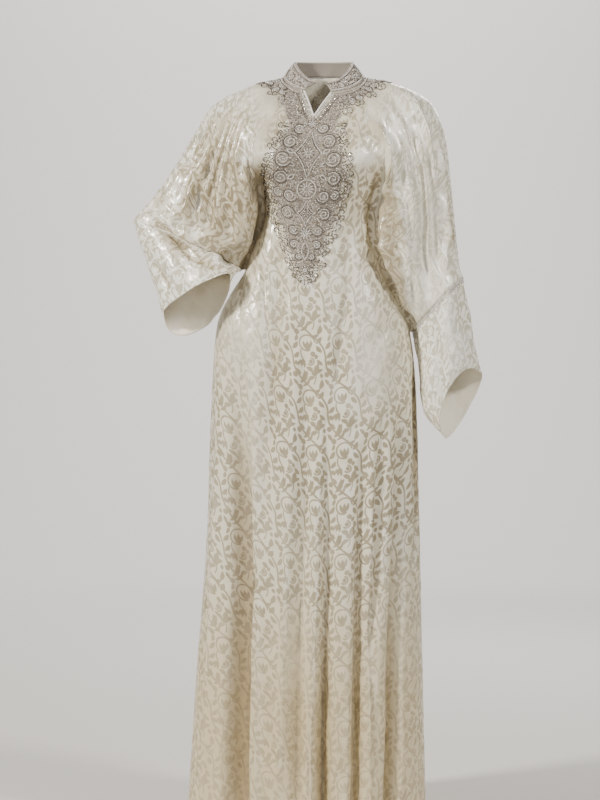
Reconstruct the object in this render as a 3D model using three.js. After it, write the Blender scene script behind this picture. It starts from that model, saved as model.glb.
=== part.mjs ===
// A floor-length kaftan of jacquard silk satin, worn: batwing sleeves cut in one with the
// front and back, a cuff on each sleeve, a stand collar over a V notch, and a beaded yoke.
// Millimetres, +Z up, the wearer faces -Y. The origin is the middle of the neck at shoulder
// height, where the wearer's shoulders carry the garment. Left and right are the wearer's.

import * as THREE from "three";

const clothWall = 1.4; // cloth with the body it needs as a solid wall
const seamGap = 0.3; // between two pieces at a seam
const beadLayer = 1.4; // bead embroidery on its net
const offsetPasses = 12;
const deepestInner = 3.2; // at a sharp fold the wall's inner side lies at most this many walls in
const valleyFloor = 6; // width of the fold's floor between body and sleeve
const collarWall = 2.2; // stand collar, interfaced and beaded
const pipingRadius = 1.2;
const pipingSides = 6;
const trimWidth = 3.6;
const trimHeight = 1.5;

// Number of columns across: body from centre to side, and the four spans of a sleeve.
const bodyColumns = { front: 14, back: 9 };
const sleeveSpans = [3, 2, 2, 2];
const cuffRows = [0, 0.5, 1, 1.6, 2.3, 3];

// Rows down the garment, as positions between the named sections below.
const upperRows = [0, 0.06, 0.5, 1, 1.5, 2, 2.5, 3, 3.5, 4, 4.5, 5, 5.5, 6];
const skirtRows = [6.5, 7, 7.5, 8, 8.6, 9.3, 10, 11];

// Ring where the collar is sewn on: its sides stand sideZ up, and it drops in front and rises
// a little less behind.
const neckRing = { x: -2, halfWidth: 82, front: 60, back: 58, sideZ: 7, frontDrop: 38, backRise: 8 };
const notch = { tip: [-23, -90, -84], leftTurn: 11, rightTurn: -30, share: 4 / 7 };
const sleeveTurns = { body: 55, foot: 59 }; // where the body and the sleeves end on the ring

// Body sections, from the chest to the hem. Each side has its x, its z, and how far the cloth
// of the front and of the back stands there; edge 1 is a flat arch and 2 or more a full round.
const bodySections = [
  { at: "chest", x: -26, z: -122, front: -106, back: 86, edge: 1,
    right: [-84, -92, -98, 76], left: [66, -92, -96, 76] },
  { at: "bust", x: -31, z: -180, front: -118, back: 94, edge: 1,
    right: [-118, -160, -106, 74], left: [108, -162, -100, 74] },
  { at: "ribs", x: -35, z: -236, front: -112, back: 86, edge: 1.5,
    right: [-121, -222, -50, 52], left: [96, -226, -62, 52] },
  { at: "waist", x: -37, z: -290, front: -104, back: 76, edge: 2,
    right: [-120, -279, -36, 36], left: [84, -292, -42, 40] },
  { at: "high hip", x: -39, z: -356, front: -108, back: 90, edge: 2,
    right: [-148, -350, -30, 24], left: [112, -385, -36, 32] },
  { at: "underarm", x: -39, z: -440, front: -116, back: 108, edge: 2.2,
    right: [-160, -384, -10, -10], left: [173, -510, -4, -4] },
  { at: "hip", x: -36, z: -530, front: -122, back: 120, edge: 2.3,
    right: [-219, -500, 0, 0], left: [183, -590, 0, 0] },
  { at: "thigh", x: -28, z: -690, front: -127, back: 125, edge: 2.3,
    right: [-231, -680, 0, 0], left: [188, -700, 0, 0] },
  { at: "knee", x: -18, z: -920, front: -136, back: 134, edge: 2.3,
    right: [-239, -920, 0, 0], left: [193, -920, 0, 0] },
  { at: "calf", x: -14, z: -1200, front: -150, back: 150, edge: 2.3,
    right: [-260, -1200, 0, 0], left: [199, -1200, 0, 0] },
  { at: "hem", x: -12, z: -1480, front: -166, back: 166, edge: 2.3,
    right: [-278, -1480, 0, 0], left: [205, -1480, 0, 0] },
];
const underarmRow = 6;
const skirtStart = 4; // folds of the skirt begin at the waist, below this row

// Sleeve sections, from the neck to above the elbow seam. Seam is the overarm line; fold is
// where the cloth turns down beside the body, with its depth in front and behind; arm is how
// far the cloth stands before and behind the overarm line.
const sleeveSections = {
  right: [
    { seam: [-139, 4, -8], fold: [-112, -50], front: -70, back: 62, arm: [10, 36, 30] },
    { seam: [-226, 6, -49], fold: [-154, -116], front: -98, back: 74, arm: [22, 46, 44] },
    { seam: [-268, 4, -114], fold: [-160, -176], front: -97, back: 72, arm: [26, 50, 44] },
    { seam: [-308, 0, -180], fold: [-161, -246], front: -94, back: 64, arm: [28, 50, 44] },
    { seam: [-350, -6, -244], fold: [-161, -328], front: -88, back: 52, arm: [30, 46, 40] },
  ],
  left: [
    { seam: [133, 4, -4], fold: [98, -48], front: -70, back: 62, arm: [10, 36, 30] },
    { seam: [214, 6, -42], fold: [126, -128], front: -97, back: 76, arm: [22, 50, 44] },
    { seam: [244, 4, -108], fold: [148, -206], front: -92, back: 72, arm: [30, 56, 48] },
    { seam: [257, 3, -210], fold: [161, -284], front: -88, back: 62, arm: [32, 58, 48] },
    { seam: [267, 2, -312], fold: [162, -390], front: -76, back: 50, arm: [34, 58, 48] },
  ],
};

const armSlope = 0.6; // how steeply the cloth falls from the overarm seam
const sleeveHollow = 3; // how far the sleeve sinks in between the fold and the arm

// Folds of the sleeves: where they lie across (0 at the body, 4 at the overarm seam), the rows
// they run between, how far they sink, and their half width across. A rise has minus depth.
const sleeveFolds = {
  right: {
    front: [
      { across: 1.7, from: 2, to: 6, depth: 8, reach: 0.4 },
      { across: 2.8, from: 1.5, to: 6, depth: 8, reach: 0.4 },
    ],
    back: [
      { across: 1.5, from: 1.5, to: 6, depth: 10, reach: 0.5 },
      { across: 2.7, from: 2, to: 6, depth: 9, reach: 0.4 },
    ],
  },
  left: {
    front: [
      { across: 0.2, from: 1.8, to: 6, depth: -9, reach: 0.16 },
      { across: 0.6, from: 1.6, to: 6, depth: 20, reach: 0.26 },
      { across: 2.2, from: 2, to: 6, depth: 7, reach: 0.4 },
    ],
    back: [
      { across: 0.7, from: 1.6, to: 6, depth: 14, reach: 0.4 },
      { across: 2.2, from: 2, to: 6, depth: 8, reach: 0.4 },
    ],
  },
};

// Cuff rings, from the elbow seam to the opening: the inner and outer turn of the tube, and
// how far its front and back layers stand from the line between them.
const cuffSections = {
  right: [
    { inner: [-166, -10, -384], outer: [-387, -14, -286], front: [-6, -60, 6], back: [-9, 46, -8] },
    { inner: [-176, -60, -388], outer: [-372, -28, -334], front: [2, -56, 2], back: [0, 46, -18] },
    { inner: [-183, -82, -394], outer: [-346, -46, -402], front: [0, -52, 4], back: [0, 44, -44] },
    { inner: [-188, -96, -400], outer: [-322, -62, -474], front: [-4, -44, 12], back: [0, 40, -71] },
  ],
  left: [
    { inner: [179, -4, -510], outer: [276, 0, -406], front: [8, -70, 18], back: [12, 56, 4] },
    { inner: [190, -18, -592], outer: [292, -4, -468], front: [4, -64, 10], back: [4, 52, 0] },
    { inner: [199, -32, -668], outer: [305, -10, -540], front: [-6, -54, 8], back: [6, 46, 0] },
    { inner: [243, -46, -726], outer: [315, -16, -592], front: [-33, -42, 30], back: [20, 38, 4] },
  ],
};

const cuffFlatness = 0.85; // 1 is an ellipse, less is fuller towards its turns

// Two soft cups of the bust: middle x and z, and the fullness they give.
const bust = { rightX: -98, leftX: 62, z: -172, fullness: 20, halfWidth: 46, halfHeight: 56 };

// Folds of the skirt as seen round the waist: turn in degrees from centre front (minus to the
// wearer's right) where the fold starts and where it meets the hem, its start height, how deep
// it is at the hem, and its half widths on either side.
const skirtFolds = {
  front: [
    { from: -49, to: -47, start: -560, depth: 12, before: 6, after: 7 },
    { from: -18, to: -36, start: -330, depth: 28, before: 9, after: 8 },
    { from: -1, to: -9, start: -520, depth: 16, before: 5, after: 4 },
    { from: 7, to: -1, start: -640, depth: 20, before: 4, after: 4 },
    { from: 27, to: 17, start: -640, depth: 16, before: 6, after: 6 },
    { from: 56, to: 40, start: -600, depth: 20, before: 8, after: 6 },
  ],
  back: [
    { from: -52, to: -50, start: -420, depth: 20, before: 8, after: 8 },
    { from: -20, to: -24, start: -330, depth: 24, before: 10, after: 9 },
    { from: 10, to: 8, start: -360, depth: 22, before: 8, after: 10 },
    { from: 40, to: 42, start: -400, depth: 24, before: 9, after: 9 },
  ],
};
const hemHeight = -1480;
const foldMargin = 5; // folds fade out over the last fifth of the way to the side seam

// Stand collar: its top ring, which drops in front and rises behind, and where its ends stop.
const collarTop = { halfWidth: 57, front: 45, back: 47, sideZ: 39, backRise: 6, frontDrop: 50 };
const collarDip = 1.5; // how late the top ring drops towards centre front; 1 is a plain slope
const collarEnds = { rightTurn: -14, leftTurn: 4 };
const collarColumns = 26;
const collarBulge = 1.5; // how far the collar's middle stands above a straight slope
const collarFoot = 0.02; // share of the collar's slope left free above the neck seam

// Bead yoke: half width at each height below the notch, about the line it hangs on.
const yokeLine = -36;
const yokeSections = [
  { z: -90, halfWidth: 54 },
  { z: -154, halfWidth: 75 },
  { z: -202, halfWidth: 88 },
  { z: -250, halfWidth: 82 },
  { z: -306, halfWidth: 68 },
  { z: -326, halfWidth: 52 },
  { z: -372, halfWidth: 40 },
  { z: -426, halfWidth: 6 },
];

const vector = (list) => new THREE.Vector3(...list);
const mix = (a, b, t) => a + (b - a) * t;
const radians = THREE.MathUtils.degToRad;
const smooth = (t) => THREE.MathUtils.smoothstep(t, 0, 1);

// Slopes of a line through evenly spaced values that never swings past them.
function gentleSlope(before, here, after) {
  const rise = here - before;
  const next = after - here;
  return rise * next <= 0 ? 0 : (2 * rise * next) / (rise + next);
}

function hermite(a, b, slopeA, slopeB, t) {
  const t2 = t * t;
  const t3 = t2 * t;
  return a * (2 * t3 - 3 * t2 + 1) + slopeA * (t3 - 2 * t2 + t)
    + b * (3 * t2 - 2 * t3) + slopeB * (t3 - t2);
}

// Value at a position along a list of evenly spaced values.
function along(values, position) {
  const last = values.length - 1;
  const i = Math.min(Math.floor(position), last - 1);
  const value = (k) => values[THREE.MathUtils.clamp(k, 0, last)];
  const slopeAt = (k) => (k === 0 || k === last)
    ? value(k === 0 ? 1 : last) - value(k === 0 ? 0 : last - 1)
    : gentleSlope(value(k - 1), value(k), value(k + 1));
  return hermite(value(i), value(i + 1), slopeAt(i), slopeAt(i + 1), position - i);
}

// Point at a position down a stack of section curves, all read at the same column.
function loft(sectionPoints, position) {
  const axis = (key) => along(sectionPoints.map((p) => p[key]), position);
  return new THREE.Vector3(axis("x"), axis("y"), axis("z"));
}

// Point on the ring where the collar is sewn; turn is 0 at centre front, 90 at the left side.
function neckPoint(turn) {
  const angle = radians(turn);
  const depth = Math.cos(angle) > 0 ? neckRing.front : neckRing.back;
  const rise = Math.cos(angle) > 0 ? -neckRing.frontDrop : -neckRing.backRise;
  return new THREE.Vector3(
    neckRing.x + neckRing.halfWidth * Math.sin(angle),
    -depth * Math.cos(angle),
    neckRing.sideZ + rise * Math.cos(angle),
  );
}

// Neckline at a column of the body: up the notch and along the collar seam in front, along
// the collar seam behind.
function neckColumn(layer, side, share) {
  const sign = side === "left" ? 1 : -1;
  if (layer === "back") return neckPoint(sign * mix(180, 180 - sleeveTurns.body, share));
  const corner = side === "left" ? notch.leftTurn : notch.rightTurn;
  if (share <= notch.share) {
    return vector(notch.tip).lerp(neckPoint(corner), share / notch.share);
  }
  const rest = (share - notch.share) / (1 - notch.share);
  return neckPoint(mix(corner, sign * sleeveTurns.body, rest));
}

// Point on one body section; share runs from centre (0) to the side or valley (1).
function bodyPoint(section, layer, side, share) {
  const [sideX, sideZ, frontY, backY] = section[side];
  const centreY = layer === "front" ? section.front : section.back;
  const sideY = layer === "front" ? frontY : backY;
  const power = Math.max(section.edge, 2);
  const roundness = Math.min(section.edge - 1, 1);
  const across = mix(share, Math.sin(share * Math.PI / 2) ** (2 / power), roundness);
  const arch = mix(1 - across ** 2, (1 - across ** power) ** (1 / power), roundness);
  return new THREE.Vector3(
    mix(section.x, sideX, across),
    mix(sideY, centreY, arch),
    mix(section.z, sideZ, across ** 2),
  );
}

function bodyColumn(layer, side, share) {
  return [neckColumn(layer, side, share), ...bodySections.map((s) => bodyPoint(s, layer, side, share))];
}

// Point on a cuff ring; turn 0 is the inner turn, 1 the outer one.
function cuffPoint(section, layer, turn) {
  const inner = vector(section.inner);
  const outer = vector(section.outer);
  const angle = turn * Math.PI;
  const middle = inner.clone().add(outer).multiplyScalar(0.5);
  const half = outer.sub(inner).multiplyScalar(0.5);
  return middle
    .addScaledVector(half, -Math.cos(angle))
    .addScaledVector(vector(section[layer]), Math.sin(angle) ** cuffFlatness);
}

// Landmarks across a sleeve section: foot of the valley, fold, middle, arm and overarm seam,
// with one more point beyond each end to lead the curve in and out.
function sleeveLandmarks(side, layer, row) {
  const section = sleeveSections[side][row];
  const body = bodySections[row];
  const sign = side === "left" ? 1 : -1;
  const foldY = layer === "front" ? section.front : section.back;
  const [inset, frontDepth, backDepth] = section.arm;
  const seam = vector(section.seam);
  const drop = inset * armSlope;
  const armAt = (depth) => seam.clone().add(new THREE.Vector3(-sign * inset, depth, -drop));
  const arm = armAt(layer === "front" ? -frontDepth : backDepth);
  const beyond = armAt(layer === "front" ? backDepth : -frontDepth);
  const fold = new THREE.Vector3(section.fold[0], foldY, section.fold[1]);
  const middle = fold.clone().lerp(arm, 0.5);
  middle.y += layer === "front" ? sleeveHollow : -sleeveHollow;
  const valley = bodyPoint(body, layer, side, 1);
  const foot = valley.clone();
  foot.x += sign * valleyFloor;
  return [valley, foot, fold, middle, arm, seam, beyond];
}

// Smooth curve through landmarks; position counts spans from the second landmark.
function landmarkCurve(points, position) {
  const i = Math.min(Math.floor(position), points.length - 4) + 1;
  const t = position - (i - 1);
  const tangentAt = (k) => {
    const before = points[k].distanceTo(points[k - 1]);
    const after = points[k].distanceTo(points[k + 1]);
    return points[k].clone().sub(points[k - 1]).multiplyScalar(after / before)
      .add(points[k + 1].clone().sub(points[k]).multiplyScalar(before / after))
      .divideScalar(before + after);
  };
  const span = points[i].distanceTo(points[i + 1]);
  const a = tangentAt(i).multiplyScalar(span);
  const b = tangentAt(i + 1).multiplyScalar(span);
  const axis = (key) => hermite(points[i][key], points[i + 1][key], a[key], b[key], t);
  return new THREE.Vector3(axis("x"), axis("y"), axis("z"));
}

// Section points down one sleeve column; position 0 is the valley's foot and 4 the overarm seam.
function sleeveColumn(layer, side, position) {
  const sign = side === "left" ? 1 : -1;
  const share = position / sleeveSpans.length;
  const turn = sign * mix(sleeveTurns.foot, 90, share);
  const neck = neckPoint(layer === "front" ? turn : sign * 180 - turn);
  const sections = sleeveSections[side].map((_, row) =>
    landmarkCurve(sleeveLandmarks(side, layer, row), position));
  return [neck, ...sections, cuffPoint(cuffSections[side][0], layer, share)];
}

// Added fullness of the bust at a point of the front.
function bustFullness(point) {
  const down = ((point.z - bust.z) / bust.halfHeight) ** 2;
  const cup = (x) => Math.exp(-(((point.x - x) / bust.halfWidth) ** 2) - down);
  return bust.fullness * (cup(bust.rightX) + cup(bust.leftX));
}

// How far the skirt's folds push the cloth in at a turn and height.
function foldDepth(layer, turn, height) {
  let depth = 0;
  for (const fold of skirtFolds[layer]) {
    const down = THREE.MathUtils.clamp((fold.start - height) / (fold.start - hemHeight), 0, 1);
    const offset = turn - mix(fold.from, fold.to, down);
    const reach = offset < 0 ? fold.before : fold.after;
    depth += fold.depth * Math.sqrt(down) * Math.exp(-((offset / reach) ** 2));
  }
  return depth;
}

// How far a sleeve's folds push the cloth in at a place across it and a row.
function sleeveFoldDepth(side, layer, across, row) {
  let depth = 0;
  for (const fold of sleeveFolds[side][layer]) {
    const run = THREE.MathUtils.clamp((row - fold.from) / (fold.to - fold.from), 0, 1);
    const offset = (across - fold.across) / fold.reach;
    depth += fold.depth * Math.sin(run * Math.PI) * Math.exp(-(offset ** 2));
  }
  return depth;
}

// The whole garment as one sheet: points, and the faces of each piece that share them.
const sheet = { points: [], faces: {}, seams: new Set() };
for (const name of ["front", "back", "right_cuff", "left_cuff"]) sheet.faces[name] = [];

function addPoint(point) {
  sheet.points.push(point);
  return sheet.points.length - 1;
}

// Faces of a grid of point numbers; flip turns them round, lean picks the diagonal.
function addGrid(faces, grid, flip, lean) {
  for (let r = 0; r + 1 < grid.length; r += 1) {
    for (let c = 0; c + 1 < grid[r].length; c += 1) {
      const [a, b, d, e] = [grid[r][c], grid[r][c + 1], grid[r + 1][c], grid[r + 1][c + 1]];
      const pair = lean ? [[a, d, b], [b, d, e]] : [[a, d, e], [a, e, b]];
      for (const [i, j, k] of pair) {
        if (i !== j && j !== k && i !== k) faces.push(flip ? [i, k, j] : [i, j, k]);
      }
    }
  }
}

const sleevePositions = [0];
sleeveSpans.forEach((steps, span) => {
  for (let k = 1; k <= steps; k += 1) sleevePositions.push(span + k / steps);
});

const sideSeams = { right: [], left: [] };
const overarmSeams = { right: [], left: [] };
const elbowRings = { right: {}, left: {} };
const frontBody = { right: [], left: [] };
const underarms = { right: [], left: [] };
const footEase = 4; // folds of a sleeve fade in over the first quarter of its first span

// Body of one layer on one side: a grid whose first column is the centre line.
function buildBody(layer, side, centre) {
  const rows = [...upperRows, ...skirtRows];
  const count = bodyColumns[layer];
  const sign = side === "left" ? 1 : -1;
  const grid = rows.map(() => []);
  for (let c = 0; c <= count; c += 1) {
    const share = c / count;
    const column = bodyColumn(layer, side, share);
    rows.forEach((position, r) => {
      if (c === 0 && centre[r] !== undefined) {
        grid[r].push(centre[r]);
        return;
      }
      const atSide = c === count && position >= underarmRow;
      if (atSide && sideSeams[side][r] !== undefined) {
        grid[r].push(sideSeams[side][r]);
        return;
      }
      const point = loft(column, position);
      if (layer === "front") point.y -= bustFullness(point) * smooth(position);
      if (position >= skirtStart) {
        const middle = along(bodySections.map((section) => section.x), position - 1);
        const inward = new THREE.Vector3(middle - point.x, -point.y, 0).normalize();
        const depth = foldDepth(layer, sign * share * 90, point.z) * smooth((1 - share) * foldMargin);
        point.addScaledVector(inward, depth);
      }
      const index = addPoint(point);
      grid[r].push(index);
      if (atSide) {
        sideSeams[side][r] = index;
        sheet.seams.add(index);
      }
    });
  }
  return grid;
}

// Sleeve of one layer on one side: a narrow floor from the body's last column to the foot of
// the sleeve, then the sleeve itself.
function buildSleeve(layer, side, body) {
  const outward = side === "left" ? valleyFloor : -valleyFloor;
  const lastRow = upperRows.length - 1;
  const grid = upperRows.map((_, r) => [body[r][body[r].length - 1]]);
  const footColumn = sleeveColumn(layer, side, 0);
  const welds = upperRows.map((position, r) => {
    const weld = sheet.points[grid[r][0]].clone().sub(loft(footColumn, position));
    weld.x += outward;
    return r === 0 ? weld.set(0, 0, 0) : weld;
  });
  for (const position of sleevePositions) {
    const column = sleeveColumn(layer, side, position);
    upperRows.forEach((row, r) => {
      const seam = position === sleeveSpans.length ? overarmSeams[side] : underarms[side];
      const atSeam = position === sleeveSpans.length || (position === 0 && r === lastRow);
      if (atSeam && seam[r] !== undefined) {
        grid[r].push(seam[r]);
        return;
      }
      const point = loft(column, row);
      point.addScaledVector(welds[r], 1 - smooth(position));
      if (layer === "front" && r < lastRow) {
        point.y -= bustFullness(point) * smooth(row) * smooth(position);
      }
      const depth = sleeveFoldDepth(side, layer, position, row) * smooth(position * footEase);
      point.y += layer === "front" ? depth : -depth;
      const index = addPoint(point);
      grid[r].push(index);
      if (atSeam) {
        seam[r] = index;
        sheet.seams.add(index);
      }
    });
  }
  elbowRings[side][layer] = grid[lastRow].slice(1);
  return grid;
}

function buildPanel(layer) {
  const centre = [];
  for (const side of ["right", "left"]) {
    const body = buildBody(layer, side, centre);
    body.forEach((row, r) => { centre[r] = row[0]; });
    const sleeve = buildSleeve(layer, side, body);
    const flip = (side === "left") === (layer === "back");
    addGrid(sheet.faces[layer], body, flip, true);
    addGrid(sheet.faces[layer], sleeve, flip, true);
    if (layer === "front") frontBody[side] = { body, sleeve };
  }
}

// Cuff: a tube whose first ring is the sleeve's last row, front layer then back layer.
function buildCuff(side) {
  const rings = cuffRows.map((row, r) => {
    if (r === 0) {
      const back = elbowRings[side].back.slice(1, -1).reverse();
      return [...elbowRings[side].front, ...back];
    }
    const turns = sleevePositions.map((p) => p / sleeveSpans.length);
    const ringColumn = (layer, turn) =>
      loft(cuffSections[side].map((s) => cuffPoint(s, layer, turn)), row);
    const front = turns.map((turn) => addPoint(ringColumn("front", turn)));
    const back = turns.slice(1, -1).reverse().map((turn) => addPoint(ringColumn("back", turn)));
    return [...front, ...back];
  });
  const closed = rings.map((ring) => [...ring, ring[0]]);
  addGrid(sheet.faces[side + "_cuff"], closed, side === "right", false);
  return rings;
}

buildPanel("front");
buildPanel("back");
const cuffRings = { right: buildCuff("right"), left: buildCuff("left") };

// Normals at the points of a sheet, each face weighted by its corner's angle, so that two
// pieces share one at their seam.
function sheetNormals(points, faces) {
  const normals = points.map(() => new THREE.Vector3());
  for (const face of faces) {
    const [a, b, c] = face.map((number) => points[number]);
    const plane = new THREE.Triangle(a, b, c).getNormal(new THREE.Vector3());
    face.forEach((number, k) => {
      const toNext = points[face[(k + 1) % 3]].clone().sub(points[number]);
      const toLast = points[face[(k + 2) % 3]].clone().sub(points[number]);
      normals[number].addScaledVector(plane, toNext.angleTo(toLast));
    });
  }
  return normals.map((n) => n.normalize());
}

// Inner side of a wall: behind each point of a sheet, as far in as it takes to lie a wall's
// thickness behind every face that meets there.
function innerOffsets(points, faces, wall) {
  const planes = points.map(() => []);
  for (const face of faces) {
    const [a, b, c] = face.map((number) => points[number]);
    const plane = new THREE.Triangle(a, b, c).getNormal(new THREE.Vector3());
    for (const number of face) planes[number].push(plane);
  }
  return sheetNormals(points, faces).map((normal, number) => {
    const offset = normal.clone().multiplyScalar(-wall);
    for (let pass = 0; pass < offsetPasses; pass += 1) {
      for (const plane of planes[number]) {
        const short = Math.max(offset.dot(plane) + wall, 0);
        offset.addScaledVector(plane, -short);
      }
    }
    return offset.clampLength(wall, wall * deepestInner);
  });
}
const allFaces = Object.values(sheet.faces).flat();
const normals = sheetNormals(sheet.points, allFaces);
const inners = innerOffsets(sheet.points, allFaces, clothWall);

// Closed wall from some faces of a sheet: a point of the outer side is moved by outerAt, and
// one of the inner side by innerAt, both given the point's number.
function wallGeometry(faces, outerAt, innerAt) {
  const used = [...new Set(faces.flat())];
  const place = new Map(used.map((number, k) => [number, k]));
  const positions = [...used.map(outerAt), ...used.map(innerAt)].flatMap((p) => p.toArray());
  const index = [];
  const edges = new Map();
  for (const face of faces) {
    const [a, b, c] = face.map((number) => place.get(number));
    index.push(a, b, c);
    index.push(a + used.length, c + used.length, b + used.length);
    for (const [i, j] of [[a, b], [b, c], [c, a]]) {
      if (!edges.delete(j + "," + i)) edges.set(i + "," + j, [i, j]);
    }
  }
  for (const [i, j] of edges.values()) {
    const [innerI, innerJ] = [i + used.length, j + used.length];
    if (used[i] < used[j]) index.push(j, i, innerI, j, innerI, innerJ);
    else index.push(j, i, innerJ, i, innerI, innerJ);
  }
  const geometry = new THREE.BufferGeometry();
  geometry.setAttribute("position", new THREE.Float32BufferAttribute(positions, 3));
  geometry.setIndex(index);
  geometry.computeVertexNormals();
  return geometry;
}

const finishes = {
  satin: { color: 0xd8d0c0, roughness: 0.42, metalness: 0 },
  beads: { color: 0xa89f95, roughness: 0.3, metalness: 0.6 },
  piping: { color: 0xf0ece4, roughness: 0.5, metalness: 0 },
  trim: { color: 0xbdb8b0, roughness: 0.25, metalness: 0.8 },
};
const garment = new THREE.Group();
garment.name = "kaftan";

function addPiece(name, finish, geometry) {
  const mesh = new THREE.Mesh(geometry, new THREE.MeshStandardMaterial(finishes[finish]));
  mesh.name = name;
  garment.add(mesh);
}

const lifted = (number, height) =>
  sheet.points[number].clone().addScaledVector(normals[number], height);
const innerSide = (number) => sheet.points[number].clone().add(inners[number]);

// Front and back stand a hair to their own side of the seams they share.
for (const [name, sign] of [["front", -1], ["back", 1]]) {
  const shift = (number, point) => {
    if (sheet.seams.has(number)) point.y += sign * seamGap / 2;
    return point;
  };
  addPiece(name, "satin", wallGeometry(
    sheet.faces[name],
    (number) => shift(number, lifted(number, 0)),
    (number) => shift(number, innerSide(number)),
  ));
}

// Directions square to a ring, in the sheet, from the sleeve towards the cuff.
function ringAways(ring, side, ups) {
  const turn = side === "right" ? -1 : 1;
  return ring.map((number, k) => {
    const before = sheet.points[ring[(k - 1 + ring.length) % ring.length]];
    const after = sheet.points[ring[(k + 1) % ring.length]];
    return after.clone().sub(before).cross(ups[number]).multiplyScalar(turn).normalize();
  });
}

// A cuff's first ring stands off the sleeve by the seam gap.
for (const side of ["right", "left"]) {
  const ring = cuffRings[side][0];
  const aways = ringAways(ring, side, normals);
  const shift = (number, point) => {
    const k = ring.indexOf(number);
    return k < 0 ? point : point.addScaledVector(aways[k], seamGap);
  };
  addPiece(side + "_cuff", "satin", wallGeometry(
    sheet.faces[side + "_cuff"],
    (number) => shift(number, lifted(number, 0)),
    (number) => shift(number, innerSide(number)),
  ));
}

// Bead yoke: the front's own faces near the neck and inside the yoke's outline, moved out.
function insideYoke(point) {
  const heights = yokeSections.map((s) => -s.z);
  const k = heights.findIndex((h) => h >= -point.z);
  if (k < 0) return false;
  if (k === 0) return true;
  const t = (-point.z - heights[k - 1]) / (heights[k] - heights[k - 1]);
  const width = mix(yokeSections[k - 1].halfWidth, yokeSections[k].halfWidth, t);
  return Math.abs(point.x - yokeLine) < width;
}

// Rows near the neck, where the yoke runs from sleeve to sleeve.
const neckRows = 3;

function yokeFaces() {
  const faces = [];
  for (const side of ["right", "left"]) {
    const { body, sleeve } = frontBody[side];
    const flip = side === "right";
    addGrid(faces, sleeve.slice(1, neckRows + 1), flip, true);
    addGrid(faces, body.slice(1, neckRows + 1), flip, true);
    let reach = body[0].length - 1;
    for (let r = neckRows; r + 1 < body.length && reach > 0; r += 1) {
      const above = reach;
      reach = 0;
      while (reach < above && insideYoke(sheet.points[body[r + 1][reach + 1]])) reach += 1;
      addGrid(faces, [body[r].slice(0, reach + 1), body[r + 1].slice(0, reach + 1)], flip, true);
      if (reach < above) {
        const corner = [body[r][reach], body[r + 1][reach], body[r][reach + 1]];
        faces.push(flip ? [corner[0], corner[2], corner[1]] : corner);
      }
    }
  }
  return faces;
}
addPiece("bead_yoke", "beads", wallGeometry(
  yokeFaces(),
  (number) => lifted(number, seamGap + beadLayer),
  (number) => lifted(number, seamGap),
));

// Collar: a band from the neck ring to its own smaller top ring, open at centre front.
function buildCollar() {
  const levels = [0, 0.5, 1];
  const points = [];
  const grid = levels.map(() => []);
  for (let c = 0; c <= collarColumns; c += 1) {
    const share = c / collarColumns;
    const turn = mix(notch.leftTurn, 360 + notch.rightTurn, share);
    const topTurn = mix(collarEnds.leftTurn, 360 + collarEnds.rightTurn, share);
    const foot = neckPoint(turn);
    const angle = radians(topTurn);
    const forward = Math.max(Math.cos(angle), 0);
    const behind = Math.max(-Math.cos(angle), 0);
    const top = new THREE.Vector3(
      neckRing.x + collarTop.halfWidth * Math.sin(angle),
      forward > 0 ? -collarTop.front * forward : collarTop.back * behind,
      collarTop.sideZ - collarTop.frontDrop * forward ** collarDip + collarTop.backRise * behind,
    );
    foot.lerp(top, collarFoot);
    levels.forEach((level, r) => {
      const point = foot.clone().lerp(top, level);
      point.z += Math.sin(level * Math.PI) * collarBulge;
      points.push(point);
      grid[r].push(points.length - 1);
    });
  }
  const faces = [];
  addGrid(faces, grid, true, false);
  const outward = sheetNormals(points, faces);
  return wallGeometry(
    faces,
    (number) => points[number].clone(),
    (number) => points[number].clone().addScaledVector(outward[number], -collarWall),
  );
}
addPiece("collar", "beads", buildCollar());

// Solid swept along a path: sides give the section's corners in its own two directions.
function sweep(path, across, up, section, closed) {
  const positions = [];
  path.forEach((point, k) => {
    for (const [a, b] of section) {
      positions.push(...point.clone().addScaledVector(across[k], a).addScaledVector(up[k], b).toArray());
    }
  });
  const sides = section.length;
  const rings = path.length;
  const index = [];
  for (let k = 0; k < (closed ? rings : rings - 1); k += 1) {
    const next = ((k + 1) % rings) * sides;
    for (let s = 0; s < sides; s += 1) {
      const t = (s + 1) % sides;
      index.push(k * sides + s, next + s, next + t);
      index.push(k * sides + s, next + t, k * sides + t);
    }
  }
  if (!closed) {
    for (let s = 1; s + 1 < sides; s += 1) {
      index.push(0, s, s + 1);
      const end = (rings - 1) * sides;
      index.push(end, end + s + 1, end + s);
    }
  }
  const geometry = new THREE.BufferGeometry();
  geometry.setAttribute("position", new THREE.Float32BufferAttribute(positions, 3));
  geometry.setIndex(index);
  geometry.computeVertexNormals();
  return geometry;
}

// Directions for a sweep over the sheet: up is its normal, across lies in it beside the path.
function sweepFrames(path, ups, closed) {
  return path.map((point, k) => {
    const before = path[closed ? (k - 1 + path.length) % path.length : Math.max(k - 1, 0)];
    const after = path[closed ? (k + 1) % path.length : Math.min(k + 1, path.length - 1)];
    return after.clone().sub(before).cross(ups[k]).normalize();
  });
}

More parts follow.
